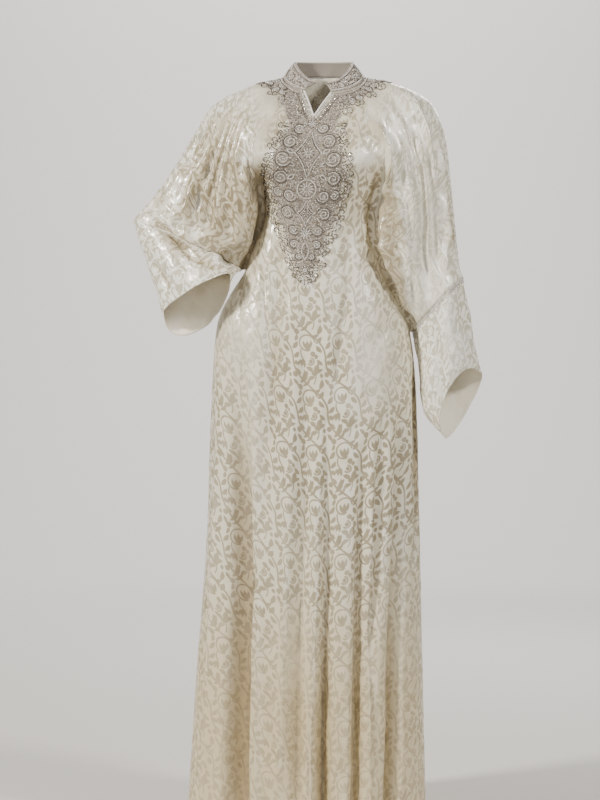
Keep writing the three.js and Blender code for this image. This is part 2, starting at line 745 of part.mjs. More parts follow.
// Neck piping: a round cord just inside the edge of the notch.
function buildPiping() {
  const reach = Math.round(notch.share * bodyColumns.front);
  const rightEdge = frontBody.right.body[0].slice(0, reach + 1).reverse();
  const leftEdge = frontBody.left.body[0].slice(1, reach + 1);
  const numbers = [...rightEdge, ...leftEdge];
  const edge = numbers.map((number) => lifted(number, -clothWall / 2));
  const ups = numbers.map((number) => normals[number]);
  const across = sweepFrames(edge, ups, false);
  const reachOut = 2 * seamGap + pipingRadius;
  const tip = rightEdge.length - 1;
  const rightRun = edge[tip - 1].clone().sub(edge[tip]).normalize();
  const leftRun = edge[tip + 1].clone().sub(edge[tip]).normalize();
  const intoNotch = rightRun.clone().add(leftRun).normalize();
  const tipReach = reachOut / Math.sin(rightRun.angleTo(leftRun) / 2);
  const path = edge.map((point, k) => (k === tip
    ? point.clone().addScaledVector(intoNotch, tipReach)
    : point.clone().addScaledVector(across[k], -reachOut)));
  const section = [];
  for (let s = 0; s < pipingSides; s += 1) {
    const angle = s * 2 * Math.PI / pipingSides;
    section.push([pipingRadius * Math.cos(angle), pipingRadius * Math.sin(angle)]);
  }
  return sweep(path, sweepFrames(path, ups, false), ups, section, false);
}
addPiece("neck_piping", "piping", buildPiping());

// Bead trim: a flat band along a run of points, with the sheet's normals there.
function buildTrim(path, ups, closed) {
  const [w, h] = [trimWidth / 2, trimHeight / 2];
  const section = [[w, 0], [w / 2, h], [-w / 2, h], [-w, 0], [-w / 2, -h], [w / 2, -h]];
  return sweep(path, sweepFrames(path, ups, closed), ups, section, closed);
}
const trimLift = 3 * seamGap + trimHeight / 2;

// On the left cuff beside the elbow seam, all the way round.
const elbowRing = cuffRings.left[0];
const cuffNormals = sheetNormals(sheet.points, sheet.faces.left_cuff);
const elbowAways = ringAways(elbowRing, "left", cuffNormals);
addPiece("left_cuff_trim", "trim", buildTrim(
  elbowRing.map((number, k) => sheet.points[number].clone()
    .addScaledVector(cuffNormals[number], trimLift)
    .addScaledVector(elbowAways[k], trimWidth / 2 + 2 * seamGap)),
  elbowRing.map((number) => cuffNormals[number]),
  true,
));

// Along the back of the right cuff's opening, near its inner turn.
const hemTrimPoints = 6;
const hemInset = 0.08; // share of the last span of the cuff left free below the trim
const [beforeHem, hemRing] = cuffRings.right.slice(-2);
const hemRun = [...hemRing.keys()].slice(-hemTrimPoints);
addPiece("right_hem_trim", "trim", buildTrim(
  hemRun.map((k) => lifted(hemRing[k], trimLift).lerp(lifted(beforeHem[k], trimLift), hemInset)),
  hemRun.map((k) => normals[hemRing[k]]),
  false,
));

export default garment;
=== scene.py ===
import math
import random

import bpy
import numpy as np
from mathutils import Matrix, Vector, noise
from mathutils.bvhtree import BVHTree
from mathutils.kdtree import KDTree


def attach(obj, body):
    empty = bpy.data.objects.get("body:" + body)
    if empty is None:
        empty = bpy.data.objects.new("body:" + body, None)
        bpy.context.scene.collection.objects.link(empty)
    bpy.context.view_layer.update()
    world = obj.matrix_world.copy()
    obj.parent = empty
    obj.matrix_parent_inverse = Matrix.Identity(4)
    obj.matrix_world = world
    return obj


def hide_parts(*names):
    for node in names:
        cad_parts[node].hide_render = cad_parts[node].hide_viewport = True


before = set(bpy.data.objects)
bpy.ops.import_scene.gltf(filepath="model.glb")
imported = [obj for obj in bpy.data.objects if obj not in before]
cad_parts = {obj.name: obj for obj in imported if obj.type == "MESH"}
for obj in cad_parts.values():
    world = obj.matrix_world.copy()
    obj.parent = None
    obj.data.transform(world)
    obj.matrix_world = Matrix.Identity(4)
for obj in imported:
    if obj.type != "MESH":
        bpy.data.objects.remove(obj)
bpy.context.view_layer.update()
mm = 0.001
random.seed(11)
print("frame loaded")

# Camera and light

view = {
    "aim": (-0.05, -0.06, -0.648),
    "distance": 4.5,
    "lens": 101,
}
camera = bpy.data.objects.new("camera", bpy.data.cameras.new("camera"))
bpy.context.collection.objects.link(camera)
camera.data.lens = view["lens"]
camera.location = (view["aim"][0], view["aim"][1] - view["distance"], view["aim"][2])
camera.rotation_euler = (math.radians(90), 0, 0)
bpy.context.scene.camera = camera

lightAim = (-0.04, 0, -0.55)
lights = {
    "key": {"place": (-3.1, -2.3, 1.7), "size": 0.5, "power": 270, "color": (1.0, 0.96, 0.88)},
    "side": {"place": (2.6, -2.1, 1.9), "size": 0.6, "power": 130, "color": (1.0, 0.965, 0.90)},
    "front": {"place": (-0.3, -4.6, 0.2), "size": 1.4, "power": 18, "color": (1.0, 0.98, 0.96)},
    "back": {"place": (0.9, 3.2, 1.4), "size": 1.8, "power": 90, "color": (1.0, 0.98, 0.95)},
    "wall": {"place": (0, 5.2, 4.6), "size": 3, "power": 700, "color": (1.0, 0.985, 0.97),
             "aim": (0, 10, 0.2)},
}
for name, light in lights.items():
    lamp = bpy.data.lights.new(name, "AREA")
    lamp.size = light["size"]
    lamp.energy = light["power"]
    lamp.color = light["color"]
    holder = bpy.data.objects.new(name, lamp)
    bpy.context.collection.objects.link(holder)
    holder.location = light["place"]
    aim = Vector(light.get("aim", lightAim)) - Vector(light["place"])
    holder.rotation_euler = aim.to_track_quat("-Z", "Y").to_euler()

air = {"Color": (0.86, 0.86, 0.88, 1), "Strength": 0.06}
world = bpy.data.worlds.new("studio")
bpy.context.scene.world = world
world.use_nodes = True
for key, value in air.items():
    world.node_tree.nodes["Background"].inputs[key].default_value = value


# Shader maths: a socket that takes part in Python expressions

class Value:
    def __init__(self, tree, socket):
        self.tree = tree
        self.socket = socket

    def maths(self, operation, *others, clamp=False):
        settings = {"operation": operation, "use_clamp": clamp}
        operands = [self, *others]
        inputs = {k: operand for k, operand in enumerate(operands)}
        return self.tree.add("ShaderNodeMath", settings, inputs)

    def __add__(self, other):
        return self.maths("ADD", other)

    def __sub__(self, other):
        return self.maths("SUBTRACT", other)

    def __mul__(self, other):
        return self.maths("MULTIPLY", other)

    def __truediv__(self, other):
        return self.maths("DIVIDE", other)

    def __rsub__(self, other):
        return self.tree.number(other).maths("SUBTRACT", self)

    __radd__ = __add__
    __rmul__ = __mul__

    def absolute(self):
        return self.maths("ABSOLUTE")

    def largest(self, other):
        return self.maths("MAXIMUM", other)

    def smallest(self, other):
        return self.maths("MINIMUM", other)


class Finish:
    # A material and its node tree; add makes any node and returns one of its outputs as a Value
    def __init__(self, name):
        self.material = bpy.data.materials.new(name)
        self.material.use_nodes = True
        self.nodes = self.material.node_tree.nodes
        self.links = self.material.node_tree.links
        self.shader = self.nodes["Principled BSDF"]

    def add(self, kind, settings=None, inputs=None, output=0):
        node = self.nodes.new(kind)
        for key, setting in (settings or {}).items():
            setattr(node, key, setting)
        for key, value in (inputs or {}).items():
            if isinstance(value, Value):
                self.links.new(value.socket, node.inputs[key])
            else:
                node.inputs[key].default_value = value
        return Value(self, node.outputs[output])

    def number(self, value):
        made = self.add("ShaderNodeValue")
        made.socket.default_value = value
        return made

    def attribute(self, name):
        return self.add("ShaderNodeAttribute", {"attribute_name": name}, None, output=2)

    def position(self):
        return self.add("ShaderNodeTexCoord", None, None, output=3)

    def height(self, vector):
        return self.add("ShaderNodeSeparateXYZ", None, {0: vector}, output=2)

    def feed(self, key, value):
        if isinstance(value, Value):
            self.links.new(value.socket, self.shader.inputs[key])
        else:
            self.shader.inputs[key].default_value = value

    def mixColor(self, factor, first, second):
        inputs = {"Factor": factor, 6: first, 7: second}
        return self.add("ShaderNodeMix", {"data_type": "RGBA"}, inputs, output=2)

    def step(self, value, low, high):
        inputs = {"Value": value, "From Min": low, "From Max": high}
        return self.add("ShaderNodeMapRange", {"interpolation_type": "SMOOTHSTEP"}, inputs)


# Forms of the garment, in millimetres

neckRing = {"x": -2, "halfWidth": 82, "front": 60, "back": 58, "sideZ": 7,
            "frontDrop": 38, "backRise": 8}
notch = {"tip": (-23, -90, -84), "leftTurn": 11, "rightTurn": -30, "share": 4 / 7}
sleeveTurns = {"body": 55, "foot": 59}
valleyFloor = 6
bodySections = [
    {"x": -26, "z": -122, "front": -106, "back": 86, "edge": 1,
     "right": (-84, -92, -98, 76), "left": (66, -92, -96, 76)},  # chest
    {"x": -31, "z": -180, "front": -118, "back": 94, "edge": 1,
     "right": (-118, -160, -106, 74), "left": (108, -162, -100, 74)},  # bust
    {"x": -35, "z": -236, "front": -112, "back": 86, "edge": 1.5,
     "right": (-121, -222, -50, 52), "left": (96, -226, -62, 52)},  # ribs
    {"x": -37, "z": -290, "front": -104, "back": 76, "edge": 2,
     "right": (-120, -279, -36, 36), "left": (84, -292, -42, 40)},  # waist
    {"x": -39, "z": -356, "front": -108, "back": 90, "edge": 2,
     "right": (-148, -350, -30, 24), "left": (112, -385, -36, 32)},  # high hip
    {"x": -39, "z": -440, "front": -116, "back": 108, "edge": 2.2,
     "right": (-160, -384, -10, -10), "left": (173, -510, -4, -4)},  # underarm
    {"x": -36, "z": -530, "front": -122, "back": 120, "edge": 2.3,
     "right": (-219, -500, 0, 0), "left": (183, -590, 0, 0)},  # hip
    {"x": -28, "z": -690, "front": -127, "back": 125, "edge": 2.3,
     "right": (-231, -680, 0, 0), "left": (188, -700, 0, 0)},  # thigh
    {"x": -18, "z": -920, "front": -136, "back": 134, "edge": 2.3,
     "right": (-239, -920, 0, 0), "left": (193, -920, 0, 0)},  # knee
    {"x": -14, "z": -1200, "front": -150, "back": 150, "edge": 2.3,
     "right": (-260, -1200, 0, 0), "left": (199, -1200, 0, 0)},  # calf
    {"x": -12, "z": -1480, "front": -166, "back": 166, "edge": 2.3,
     "right": (-278, -1480, 0, 0), "left": (205, -1480, 0, 0)},  # hem
]
underarmRow = 6
hemRow = len(bodySections)
sleeveSections = {
    "right": [
        {"seam": (-139, 4, -8), "fold": (-112, -50), "front": -70, "back": 62,
         "arm": (10, 36, 30)},
        {"seam": (-226, 6, -49), "fold": (-154, -116), "front": -98, "back": 74,
         "arm": (22, 46, 44)},
        {"seam": (-268, 4, -114), "fold": (-160, -176), "front": -97, "back": 72,
         "arm": (26, 50, 44)},
        {"seam": (-308, 0, -180), "fold": (-161, -246), "front": -94, "back": 64,
         "arm": (28, 50, 44)},
        {"seam": (-350, -6, -244), "fold": (-161, -328), "front": -88, "back": 52,
         "arm": (30, 46, 40)},
    ],
    "left": [
        {"seam": (133, 4, -4), "fold": (98, -48), "front": -70, "back": 62,
         "arm": (10, 36, 30)},
        {"seam": (214, 6, -42), "fold": (126, -128), "front": -97, "back": 76,
         "arm": (22, 50, 44)},
        {"seam": (244, 4, -108), "fold": (148, -206), "front": -92, "back": 72,
         "arm": (30, 56, 48)},
        {"seam": (257, 3, -210), "fold": (161, -284), "front": -88, "back": 62,
         "arm": (32, 58, 48)},
        {"seam": (267, 2, -312), "fold": (162, -390), "front": -76, "back": 50,
         "arm": (34, 58, 48)},
    ],
}
armSlope = 0.6
sleeveHollow = 3
sleeveSpans = 4
cuffSections = {
    "right": [
        {"inner": (-166, -10, -384), "outer": (-387, -14, -286), "front": (-6, -60, 6),
         "back": (-9, 46, -8)},
        {"inner": (-176, -60, -388), "outer": (-372, -28, -334), "front": (2, -56, 2),
         "back": (0, 46, -18)},
        {"inner": (-183, -82, -394), "outer": (-346, -46, -402), "front": (0, -52, 4),
         "back": (0, 44, -44)},
        {"inner": (-188, -96, -400), "outer": (-322, -62, -474), "front": (-4, -44, 12),
         "back": (0, 40, -71)},
    ],
    "left": [
        {"inner": (179, -4, -510), "outer": (276, 0, -406), "front": (8, -70, 18),
         "back": (12, 56, 4)},
        {"inner": (190, -18, -592), "outer": (292, -4, -468), "front": (4, -64, 10),
         "back": (4, 52, 0)},
        {"inner": (199, -32, -668), "outer": (305, -10, -540), "front": (-6, -54, 8),
         "back": (6, 46, 0)},
        {"inner": (243, -46, -726), "outer": (315, -16, -592), "front": (-33, -42, 30),
         "back": (20, 38, 4)},
    ],
}
cuffFlatness = 0.85
bust = {"right": -98, "left": 62, "z": -172, "fullness": 20, "halfWidth": 46, "halfHeight": 56}


def smooth(t):
    t = np.clip(t, 0, 1)
    return t * t * (3 - 2 * t)


def blend(a, b, t):
    return a + (b - a) * t


# Values read along their first axis, with slopes that never swing past them
def along(values, positions):
    values = np.asarray(values, float)
    positions = np.asarray(positions, float)
    rise = values[1:] - values[:-1]
    product = rise[1:] * rise[:-1]
    total = rise[1:] + rise[:-1]
    gentle = np.where(product > 0, 2 * product / np.where(product > 0, total, 1), 0)
    slopes = np.concatenate([rise[:1], gentle, rise[-1:]])
    cell = np.clip(np.floor(positions).astype(int), 0, len(values) - 2)
    t = (positions - cell).reshape(-1, *[1] * (values.ndim - 1))
    a, b = values[cell], values[cell + 1]
    slopeA, slopeB = slopes[cell], slopes[cell + 1]
    return (a * (2 * t**3 - 3 * t**2 + 1) + slopeA * (t**3 - 2 * t**2 + t)
            + b * (3 * t**2 - 2 * t**3) + slopeB * (t**3 - t**2))


# Ring where the collar is sewn on; turn is 0 at centre front, 90 at the left side
def neckPoints(turns):
    angle = np.radians(np.asarray(turns, float))
    forward = np.cos(angle)
    depth = np.where(forward > 0, neckRing["front"], neckRing["back"])
    rise = np.where(forward > 0, -neckRing["frontDrop"], -neckRing["backRise"])
    return np.stack([
        neckRing["x"] + neckRing["halfWidth"] * np.sin(angle),
        -depth * forward,
        neckRing["sideZ"] + rise * forward,
    ], axis=-1)


def neckLine(layer, side, shares):
    sign = 1 if side == "left" else -1
    if layer == "back":
        return neckPoints(sign * blend(180, 180 - sleeveTurns["body"], shares))
    corner = notch["leftTurn"] if side == "left" else notch["rightTurn"]
    upNotch = np.clip(shares / notch["share"], 0, 1)[:, None]
    rest = (shares - notch["share"]) / (1 - notch["share"])
    edge = blend(np.array(notch["tip"], float), neckPoints([corner]), upNotch)
    ring = neckPoints(blend(corner, sign * sleeveTurns["body"], rest))
    return np.where(shares[:, None] <= notch["share"], edge, ring)


# One body section; shares run from the centre (0) to the side or valley (1)
def bodyLine(section, layer, side, shares):
    sideX, sideZ, frontY, backY = section[side]
    centreY = section[layer]
    sideY = frontY if layer == "front" else backY
    power = max(section["edge"], 2)
    roundness = min(section["edge"] - 1, 1)
    across = blend(shares, np.sin(shares * np.pi / 2) ** (2 / power), roundness)
    across = np.clip(across, 0, 1)
    arch = blend(1 - across**2, (1 - across**power) ** (1 / power), roundness)
    return np.stack([
        blend(section["x"], sideX, across),
        blend(sideY, centreY, arch),
        blend(section["z"], sideZ, across**2),
    ], axis=-1)


def bodySheet(layer, side, shares, rows):
    lines = [neckLine(layer, side, shares)]
    lines += [bodyLine(section, layer, side, shares) for section in bodySections]
    return along(np.array(lines), rows)


def cuffLine(section, layer, turns):
    inner = np.array(section["inner"], float)
    outer = np.array(section["outer"], float)
    angle = (np.asarray(turns, float) * np.pi)[:, None]
    bulge = np.array(section[layer], float) * np.clip(np.sin(angle), 0, 1) ** cuffFlatness
    return (inner + outer) / 2 - (outer - inner) / 2 * np.cos(angle) + bulge


# Landmarks across a sleeve section, then a smooth curve through them
def sleeveLine(side, layer, row, positions):
    section = sleeveSections[side][row]
    sign = 1 if side == "left" else -1
    inset, frontDepth, backDepth = section["arm"]
    seam = np.array(section["seam"], float)
    before = seam + (-sign * inset, -frontDepth, -inset * armSlope)
    behind = seam + (-sign * inset, backDepth, -inset * armSlope)
    arm, beyond = (before, behind) if layer == "front" else (behind, before)
    fold = np.array([section["fold"][0], section[layer], section["fold"][1]], float)
    middle = (fold + arm) / 2
    middle[1] += sleeveHollow if layer == "front" else -sleeveHollow
    valley = bodyLine(bodySections[row], layer, side, np.array([1.0]))[0]
    foot = valley + (sign * valleyFloor, 0, 0)
    marks = np.array([valley, foot, fold, middle, arm, seam, beyond])
    gaps = np.linalg.norm(marks[1:] - marks[:-1], axis=1)
    line = []
    for position in positions:
        i = min(int(position), sleeveSpans - 1) + 1
        t = position - (i - 1)
        tangents = []
        for k in (i, i + 1):
            last, after = gaps[k - 1], gaps[k]
            tangent = (marks[k] - marks[k - 1]) * after / last
            tangent += (marks[k + 1] - marks[k]) * last / after
            tangents.append(tangent / (last + after) * gaps[i])
        line.append(marks[i] * (2 * t**3 - 3 * t**2 + 1) + tangents[0] * (t**3 - 2 * t**2 + t)
                    + marks[i + 1] * (3 * t**2 - 2 * t**3) + tangents[1] * (t**3 - t**2))
    return np.array(line)


def sleeveSheet(layer, side, positions, rows):
    sign = 1 if side == "left" else -1
    shares = positions / sleeveSpans
    turns = sign * blend(sleeveTurns["foot"], 90, shares)
    neck = neckPoints(turns if layer == "front" else sign * 180 - turns)
    lines = [neck]
    lines += [sleeveLine(side, layer, row, positions) for row in range(len(sleeveSections[side]))]
    lines.append(cuffLine(cuffSections[side][0], layer, shares))
    return along(np.array(lines), rows)


def bustFullness(points):
    down = ((points[..., 2] - bust["z"]) / bust["halfHeight"]) ** 2
    fullness = 0
    for side in ("right", "left"):
        across = ((points[..., 0] - bust[side]) / bust["halfWidth"]) ** 2
        fullness = fullness + np.exp(-across - down)
    return bust["fullness"] * fullness


# Folds of the skirt: the line each valley follows as (x, z), its depth at each of those
# points, its half widths on the wearer's right and left of the line, and how flat its
# floor is
frontFolds = [
    {"line": [(-182, -540), (-178, -700), (-178, -900), (-180, -1200), (-186, -1480)],
     "depth": [0, 18, 30, 34, 34], "right": 24, "left": 28, "edge": 4},
    {"line": [(-128, -380), (-124, -470), (-112, -600)], "depth": [0, 11, 2],
     "right": 7, "left": 5},
    {"line": [(-97, -300), (-100, -450), (-112, -640), (-138, -950), (-162, -1160),
              (-188, -1480)], "depth": [5, 13, 15, 11, 4, 0], "right": 12, "left": 20},
    {"line": [(-40, -440), (-36, -700), (-46, -940), (-56, -1160), (-60, -1480)],
     "depth": [0, 12, 16, 17, 16], "right": 13, "left": 10},
    {"line": [(54, -290), (46, -440), (30, -560), (22, -680)], "depth": [0, 7, 9, 0],
     "right": 12, "left": 12},
    {"line": [(4, -620), (4, -860), (-2, -1100), (-8, -1300), (-8, -1480)],
     "depth": [0, 13, 20, 26, 34], "right": 7, "left": 16, "edge": 2.2},
    {"line": [(118, -660), (108, -850), (96, -1040), (84, -1200)], "depth": [0, 15, 15, 2],
     "right": 8, "left": 10},
    {"line": [(78, -700), (72, -960), (68, -1180), (62, -1480)], "depth": [0, 20, 26, 28],
     "right": 10, "left": 12},
    {"line": [(156, -560), (152, -920), (142, -1100), (134, -1480)],
     "depth": [0, 23, 27, 32], "right": 14, "left": 10},
    {"line": [(-152, -300), (-166, -420), (-172, -540)], "depth": [0, 7, 0],
     "right": 7, "left": 8},
    {"line": [(-74, -470), (-76, -620), (-84, -800)], "depth": [0, 6, 0],
     "right": 7, "left": 8},
    {"line": [(180, -470), (184, -700), (186, -900), (180, -1060)], "depth": [10, 30, 26, 0],
     "right": 11, "left": 14, "edge": 3.4},
    {"line": [(-136, -700), (-136, -950), (-138, -1200), (-140, -1480)],
     "depth": [0, -9, -13, -14], "right": 7, "left": 12},
    {"line": [(-214, -640), (-216, -900), (-226, -1200), (-240, -1480)],
     "depth": [0, -10, -14, -14], "right": 9, "left": 8},
    {"line": [(-16, -730), (-18, -1000), (-30, -1300), (-34, -1480)],
     "depth": [0, -8, -12, -12], "right": 6, "left": 5},
    {"line": [(94, -720), (90, -960), (84, -1200), (84, -1480)], "depth": [0, -8, -9, -9],
     "right": 6, "left": 5},
    {"line": [(-70, -560), (-66, -700), (-72, -900), (-86, -1200), (-96, -1480)],
     "depth": [0, -6, -8, -9, -9], "right": 8, "left": 8},
]
backFolds = [
    {"line": [(-196, -540), (-204, -900), (-214, -1480)], "depth": [0, 18, 22],
     "right": 12, "left": 13},
    {"line": [(-138, -420), (-150, -800), (-170, -1480)], "depth": [0, 22, 34],
     "right": 16, "left": 14},
    {"line": [(-82, -330), (-96, -760), (-112, -1480)], "depth": [5, 24, 36],
     "right": 15, "left": 18},
    {"line": [(-36, -520), (-40, -900), (-50, -1480)], "depth": [0, 14, 22],
     "right": 12, "left": 12},
    {"line": [(2, -340), (8, -820), (14, -1480)], "depth": [5, 23, 35],
     "right": 15, "left": 14},
    {"line": [(62, -470), (66, -900), (72, -1480)], "depth": [0, 16, 26],
     "right": 13, "left": 15},
    {"line": [(112, -400), (122, -820), (132, -1480)], "depth": [0, 24, 34],
     "right": 14, "left": 13},
    {"line": [(166, -600), (168, -1000), (172, -1480)], "depth": [0, 14, 20],
     "right": 10, "left": 11},
]

# Folds of the sleeves: where each lies across (0 at the foot of the valley, 4 at the overarm
# seam) at its top and its end, the rows it runs between, its depth and its half width across
sleeveFolds = {
    ("right", "front"): [
        {"top": 0.5, "end": 0.5, "from": 1.4, "to": 6.2, "depth": 12, "reach": 0.16},
        {"top": 0.95, "end": 0.9, "from": 2.2, "to": 6.3, "depth": 9, "reach": 0.13},
        {"top": 1.4, "end": 1.2, "from": 1.8, "to": 6.4, "depth": 13, "reach": 0.16},
        {"top": 1.85, "end": 1.75, "from": 1.2, "to": 6.2, "depth": 13, "reach": 0.12},
        {"top": 2.15, "end": 2.2, "from": 1.6, "to": 5.2, "depth": 12, "reach": 0.09},
        {"top": 2.45, "end": 2.65, "from": 1.2, "to": 6.3, "depth": 14, "reach": 0.12},
        {"top": 2.72, "end": 3.0, "from": 1.4, "to": 4.8, "depth": 10, "reach": 0.08},
        {"top": 3.0, "end": 3.35, "from": 2.0, "to": 6.3, "depth": 11, "reach": 0.12},
        {"top": 3.4, "end": 3.7, "from": 2.8, "to": 6.0, "depth": 8, "reach": 0.1},
    ],
    ("right", "back"): [
        {"top": 0.6, "end": 0.5, "from": 1.6, "to": 6.2, "depth": 12, "reach": 0.2},
        {"top": 1.3, "end": 1.3, "from": 1.5, "to": 6.2, "depth": 13, "reach": 0.2},
        {"top": 1.9, "end": 2.0, "from": 1.3, "to": 5.6, "depth": 12, "reach": 0.14},
        {"top": 2.4, "end": 2.7, "from": 1.8, "to": 6.2, "depth": 12, "reach": 0.15},
        {"top": 3.0, "end": 3.3, "from": 2.2, "to": 6.1, "depth": 11, "reach": 0.15},
    ],
    ("left", "front"): [
        {"top": 0.1, "end": 0.22, "from": 1.5, "to": 6.4, "depth": -10, "reach": 0.12},
        {"top": 0.5, "end": 0.62, "from": 1.4, "to": 6.2, "depth": 22, "reach": 0.22},
        {"top": 0.95, "end": 0.95, "from": 1.6, "to": 5.2, "depth": -5, "reach": 0.12},
        {"top": 1.35, "end": 1.3, "from": 2.0, "to": 6.2, "depth": 11, "reach": 0.12},
        {"top": 1.8, "end": 1.8, "from": 1.6, "to": 5.4, "depth": 10, "reach": 0.11},
        {"top": 2.3, "end": 2.25, "from": 2.2, "to": 6.3, "depth": 12, "reach": 0.13},
        {"top": 2.8, "end": 2.85, "from": 1.4, "to": 5.8, "depth": 11, "reach": 0.12},
        {"top": 3.35, "end": 3.35, "from": 2.4, "to": 6.3, "depth": 10, "reach": 0.12},
    ],
    ("left", "back"): [
        {"top": 0.7, "end": 0.7, "from": 1.6, "to": 6.2, "depth": 14, "reach": 0.28},
        {"top": 1.5, "end": 1.4, "from": 1.8, "to": 6.0, "depth": 12, "reach": 0.17},
        {"top": 2.2, "end": 2.3, "from": 1.6, "to": 6.2, "depth": 13, "reach": 0.17},
        {"top": 2.8, "end": 2.9, "from": 2.4, "to": 6.2, "depth": 9, "reach": 0.12},
        {"top": 3.3, "end": 3.3, "from": 1.6, "to": 5.6, "depth": 11, "reach": 0.14},
    ],
}

# Creases of the sleeves and cuffs as seen from the front: the line each follows as (x, z), how
# deep it is (minus for a ridge) and its half width
creases = {
    "right": [
        {"line": [(-264, -176), (-272, -250), (-284, -338)], "depth": 9, "reach": 7},
        {"line": [(-360, -276), (-332, -300), (-304, -324), (-282, -340), (-266, -358),
                  (-232, -378), (-200, -388)], "depth": 15, "reach": 8},
        {"line": [(-352, -258), (-326, -280), (-300, -304), (-284, -318)], "depth": -9,
         "reach": 8},
        {"line": [(-236, -350), (-222, -364), (-206, -372)], "depth": -10, "reach": 8},
        {"line": [(-352, -366), (-332, -392), (-317, -420), (-310, -446)], "depth": 9,
         "reach": 9},
        {"line": [(-296, -350), (-290, -372), (-276, -392)], "depth": 7, "reach": 8},
        {"line": [(-258, -128), (-268, -166), (-278, -206)], "depth": -8, "reach": 6},
        {"line": [(-218, -102), (-222, -140), (-225, -182)], "depth": -8, "reach": 5},
        {"line": [(-234, -154), (-235, -184), (-235, -216)], "depth": -7, "reach": 5},
        {"line": [(-164, -150), (-172, -200), (-180, -250)], "depth": -8, "reach": 5},
        {"line": [(-206, -250), (-212, -300), (-228, -350)], "depth": 8, "reach": 7},
        {"line": [(-330, -222), (-322, -250), (-306, -276)], "depth": 8, "reach": 7},
        {"line": [(-246, -230), (-254, -280), (-266, -330)], "depth": -6, "reach": 6},
        {"line": [(-188, -262), (-186, -310), (-190, -356)], "depth": -7, "reach": 6},
    ],
    "left": [
        {"line": [(96, -160), (112, -200), (122, -244), (140, -308), (158, -376), (176, -450),
                  (184, -510)], "depth": -12, "reach": 6},
        {"line": [(104, -216), (120, -290), (143, -362), (162, -420), (178, -480)],
         "depth": 17, "reach": 7},
        {"line": [(88, -236), (104, -296), (128, -368), (150, -422), (168, -472), (182, -514)],
         "depth": -22, "reach": 6},
        {"line": [(132, -200), (150, -262), (160, -330), (166, -400), (176, -470)],
         "depth": 12, "reach": 8},
        {"line": [(118, -164), (119, -230), (119, -300), (122, -340)], "depth": -7,
         "reach": 4},
        {"line": [(150, -170), (164, -250), (170, -330), (174, -410), (184, -480)],
         "depth": -8, "reach": 5},
        {"line": [(120, -200), (132, -230), (156, -262)], "depth": 8, "reach": 4},
        {"line": [(118, -240), (134, -272), (156, -300)], "depth": 8, "reach": 4},
        {"line": [(122, -282), (138, -312), (158, -336)], "depth": 8, "reach": 4},
        {"line": [(130, -324), (146, -352), (162, -376)], "depth": 8, "reach": 4},
        {"line": [(142, -366), (156, -392), (168, -414)], "depth": 4, "reach": 4},
        {"line": [(272, -430), (280, -470), (292, -520)], "depth": 8, "reach": 8},
        {"line": [(216, -500), (226, -560), (236, -640)], "depth": 7, "reach": 9},
        {"line": [(192, -560), (204, -610), (226, -668)], "depth": -5, "reach": 7},
        {"line": [(236, -452), (248, -500), (262, -560)], "depth": -5, "reach": 8},
        {"line": [(212, -180), (222, -260), (220, -350)], "depth": -7, "reach": 7},
        {"line": [(236, -240), (244, -320), (240, -400)], "depth": 8, "reach": 7},
        {"line": [(196, -300), (204, -380), (206, -450)], "depth": -6, "reach": 6},
    ],
}

cloth = {
    "bodyColumns": {"front": 63, "back": 50},
    "sleeveColumns": 44,
    "rowsAbove": 16,  # rows between two sections above the underarm
    "rowsBelow": 5.6,  # height of a row of the skirt
    "cuffRows": 72,
    "wall": 0.6,
    "fade": 5,  # folds fade out over the last fifth of the way to a side seam
    "foldEdge": 1.7,  # how flat the floor of a fold is, unless its own row says
    "pastEnd": 40,  # how far a skirt fold runs on past its lower end
    "crumple": 0.7,
    "sleeveCrumple": 1.6,
    "cuffCrumple": 1.4,
    "creaseFade": 0.6,
    "sleeveFoldFade": 0.7,
    "hiddenCuffCreases": 0.3,  # share of a crease's depth on the back of a cuff
}
# How strongly valleys are shaded: the depth in millimetres that counts as a full valley, and
# what the valley beside each sleeve adds, how wide it is and between which rows
shading = {
    "fullDepth": {"body": 36, "sleeve": 16, "cuff": 14},
    "beside": {"body": 0.6, "right": 0.6, "left": 0.25},
    "besideWide": {"body": 0.11, "sleeve": 0.3},
    "from": 1.2,
    "to": 6.6,
    "limits": (-0.8, 1.2),
}


# How the vine shows from place to place, painted to follow how light falls on the satin: plus is
# darker than its ground, minus a painted lit line on a ground in painted shade. The base goes by
# height, the spots are added to it by (x, z)
vineShows = {
    "base": [(-1480, 0.45), (-1200, 0.58), (-1040, 0.85), (-760, 0.95), (-600, 0.85),
             (-500, 0.78), (-420, 0.8), (-240, 0.85), (-120, 0.8), (60, 0.6)],
    "sleeves": -0.5,
    "cuffs": -0.6,
    "spots": [
        {"x": -34, "z": -640, "wide": 56, "high": 150, "change": 0.45},
        {"x": 92, "z": -810, "wide": 70, "high": 120, "change": 0.35},
        {"x": -165, "z": -540, "wide": 44, "high": 70, "change": -0.4},
        {"x": 104, "z": -575, "wide": 46, "high": 80, "change": -0.4},
        {"x": -132, "z": -166, "wide": 34, "high": 16, "change": -0.5},
        {"x": 78, "z": -172, "wide": 38, "high": 18, "change": -0.5},
        {"x": -150, "z": -760, "wide": 34, "high": 120, "change": -0.35},
        {"x": 150, "z": -1080, "wide": 40, "high": 150, "change": -0.3},
        {"x": -60, "z": -1120, "wide": 30, "high": 120, "change": -0.3},
        {"x": -210, "z": -250, "wide": 70, "high": 130, "change": -0.5},
        {"x": 200, "z": -340, "wide": 40, "high": 150, "change": 0.2},
    ],
}


def boldness(points, sleeve=0):
    heights, values = np.array(vineShows["base"], float).T
    bold = blend(np.interp(points[..., 2], heights, values), vineShows["sleeves"], sleeve)
    for spot in vineShows["spots"]:
        across = (points[..., 0] - spot["x"]) / spot["wide"]
        down = (points[..., 2] - spot["z"]) / spot["high"]
        bold = bold + spot["change"] * np.exp(-across**2 - down**2)
    return bold
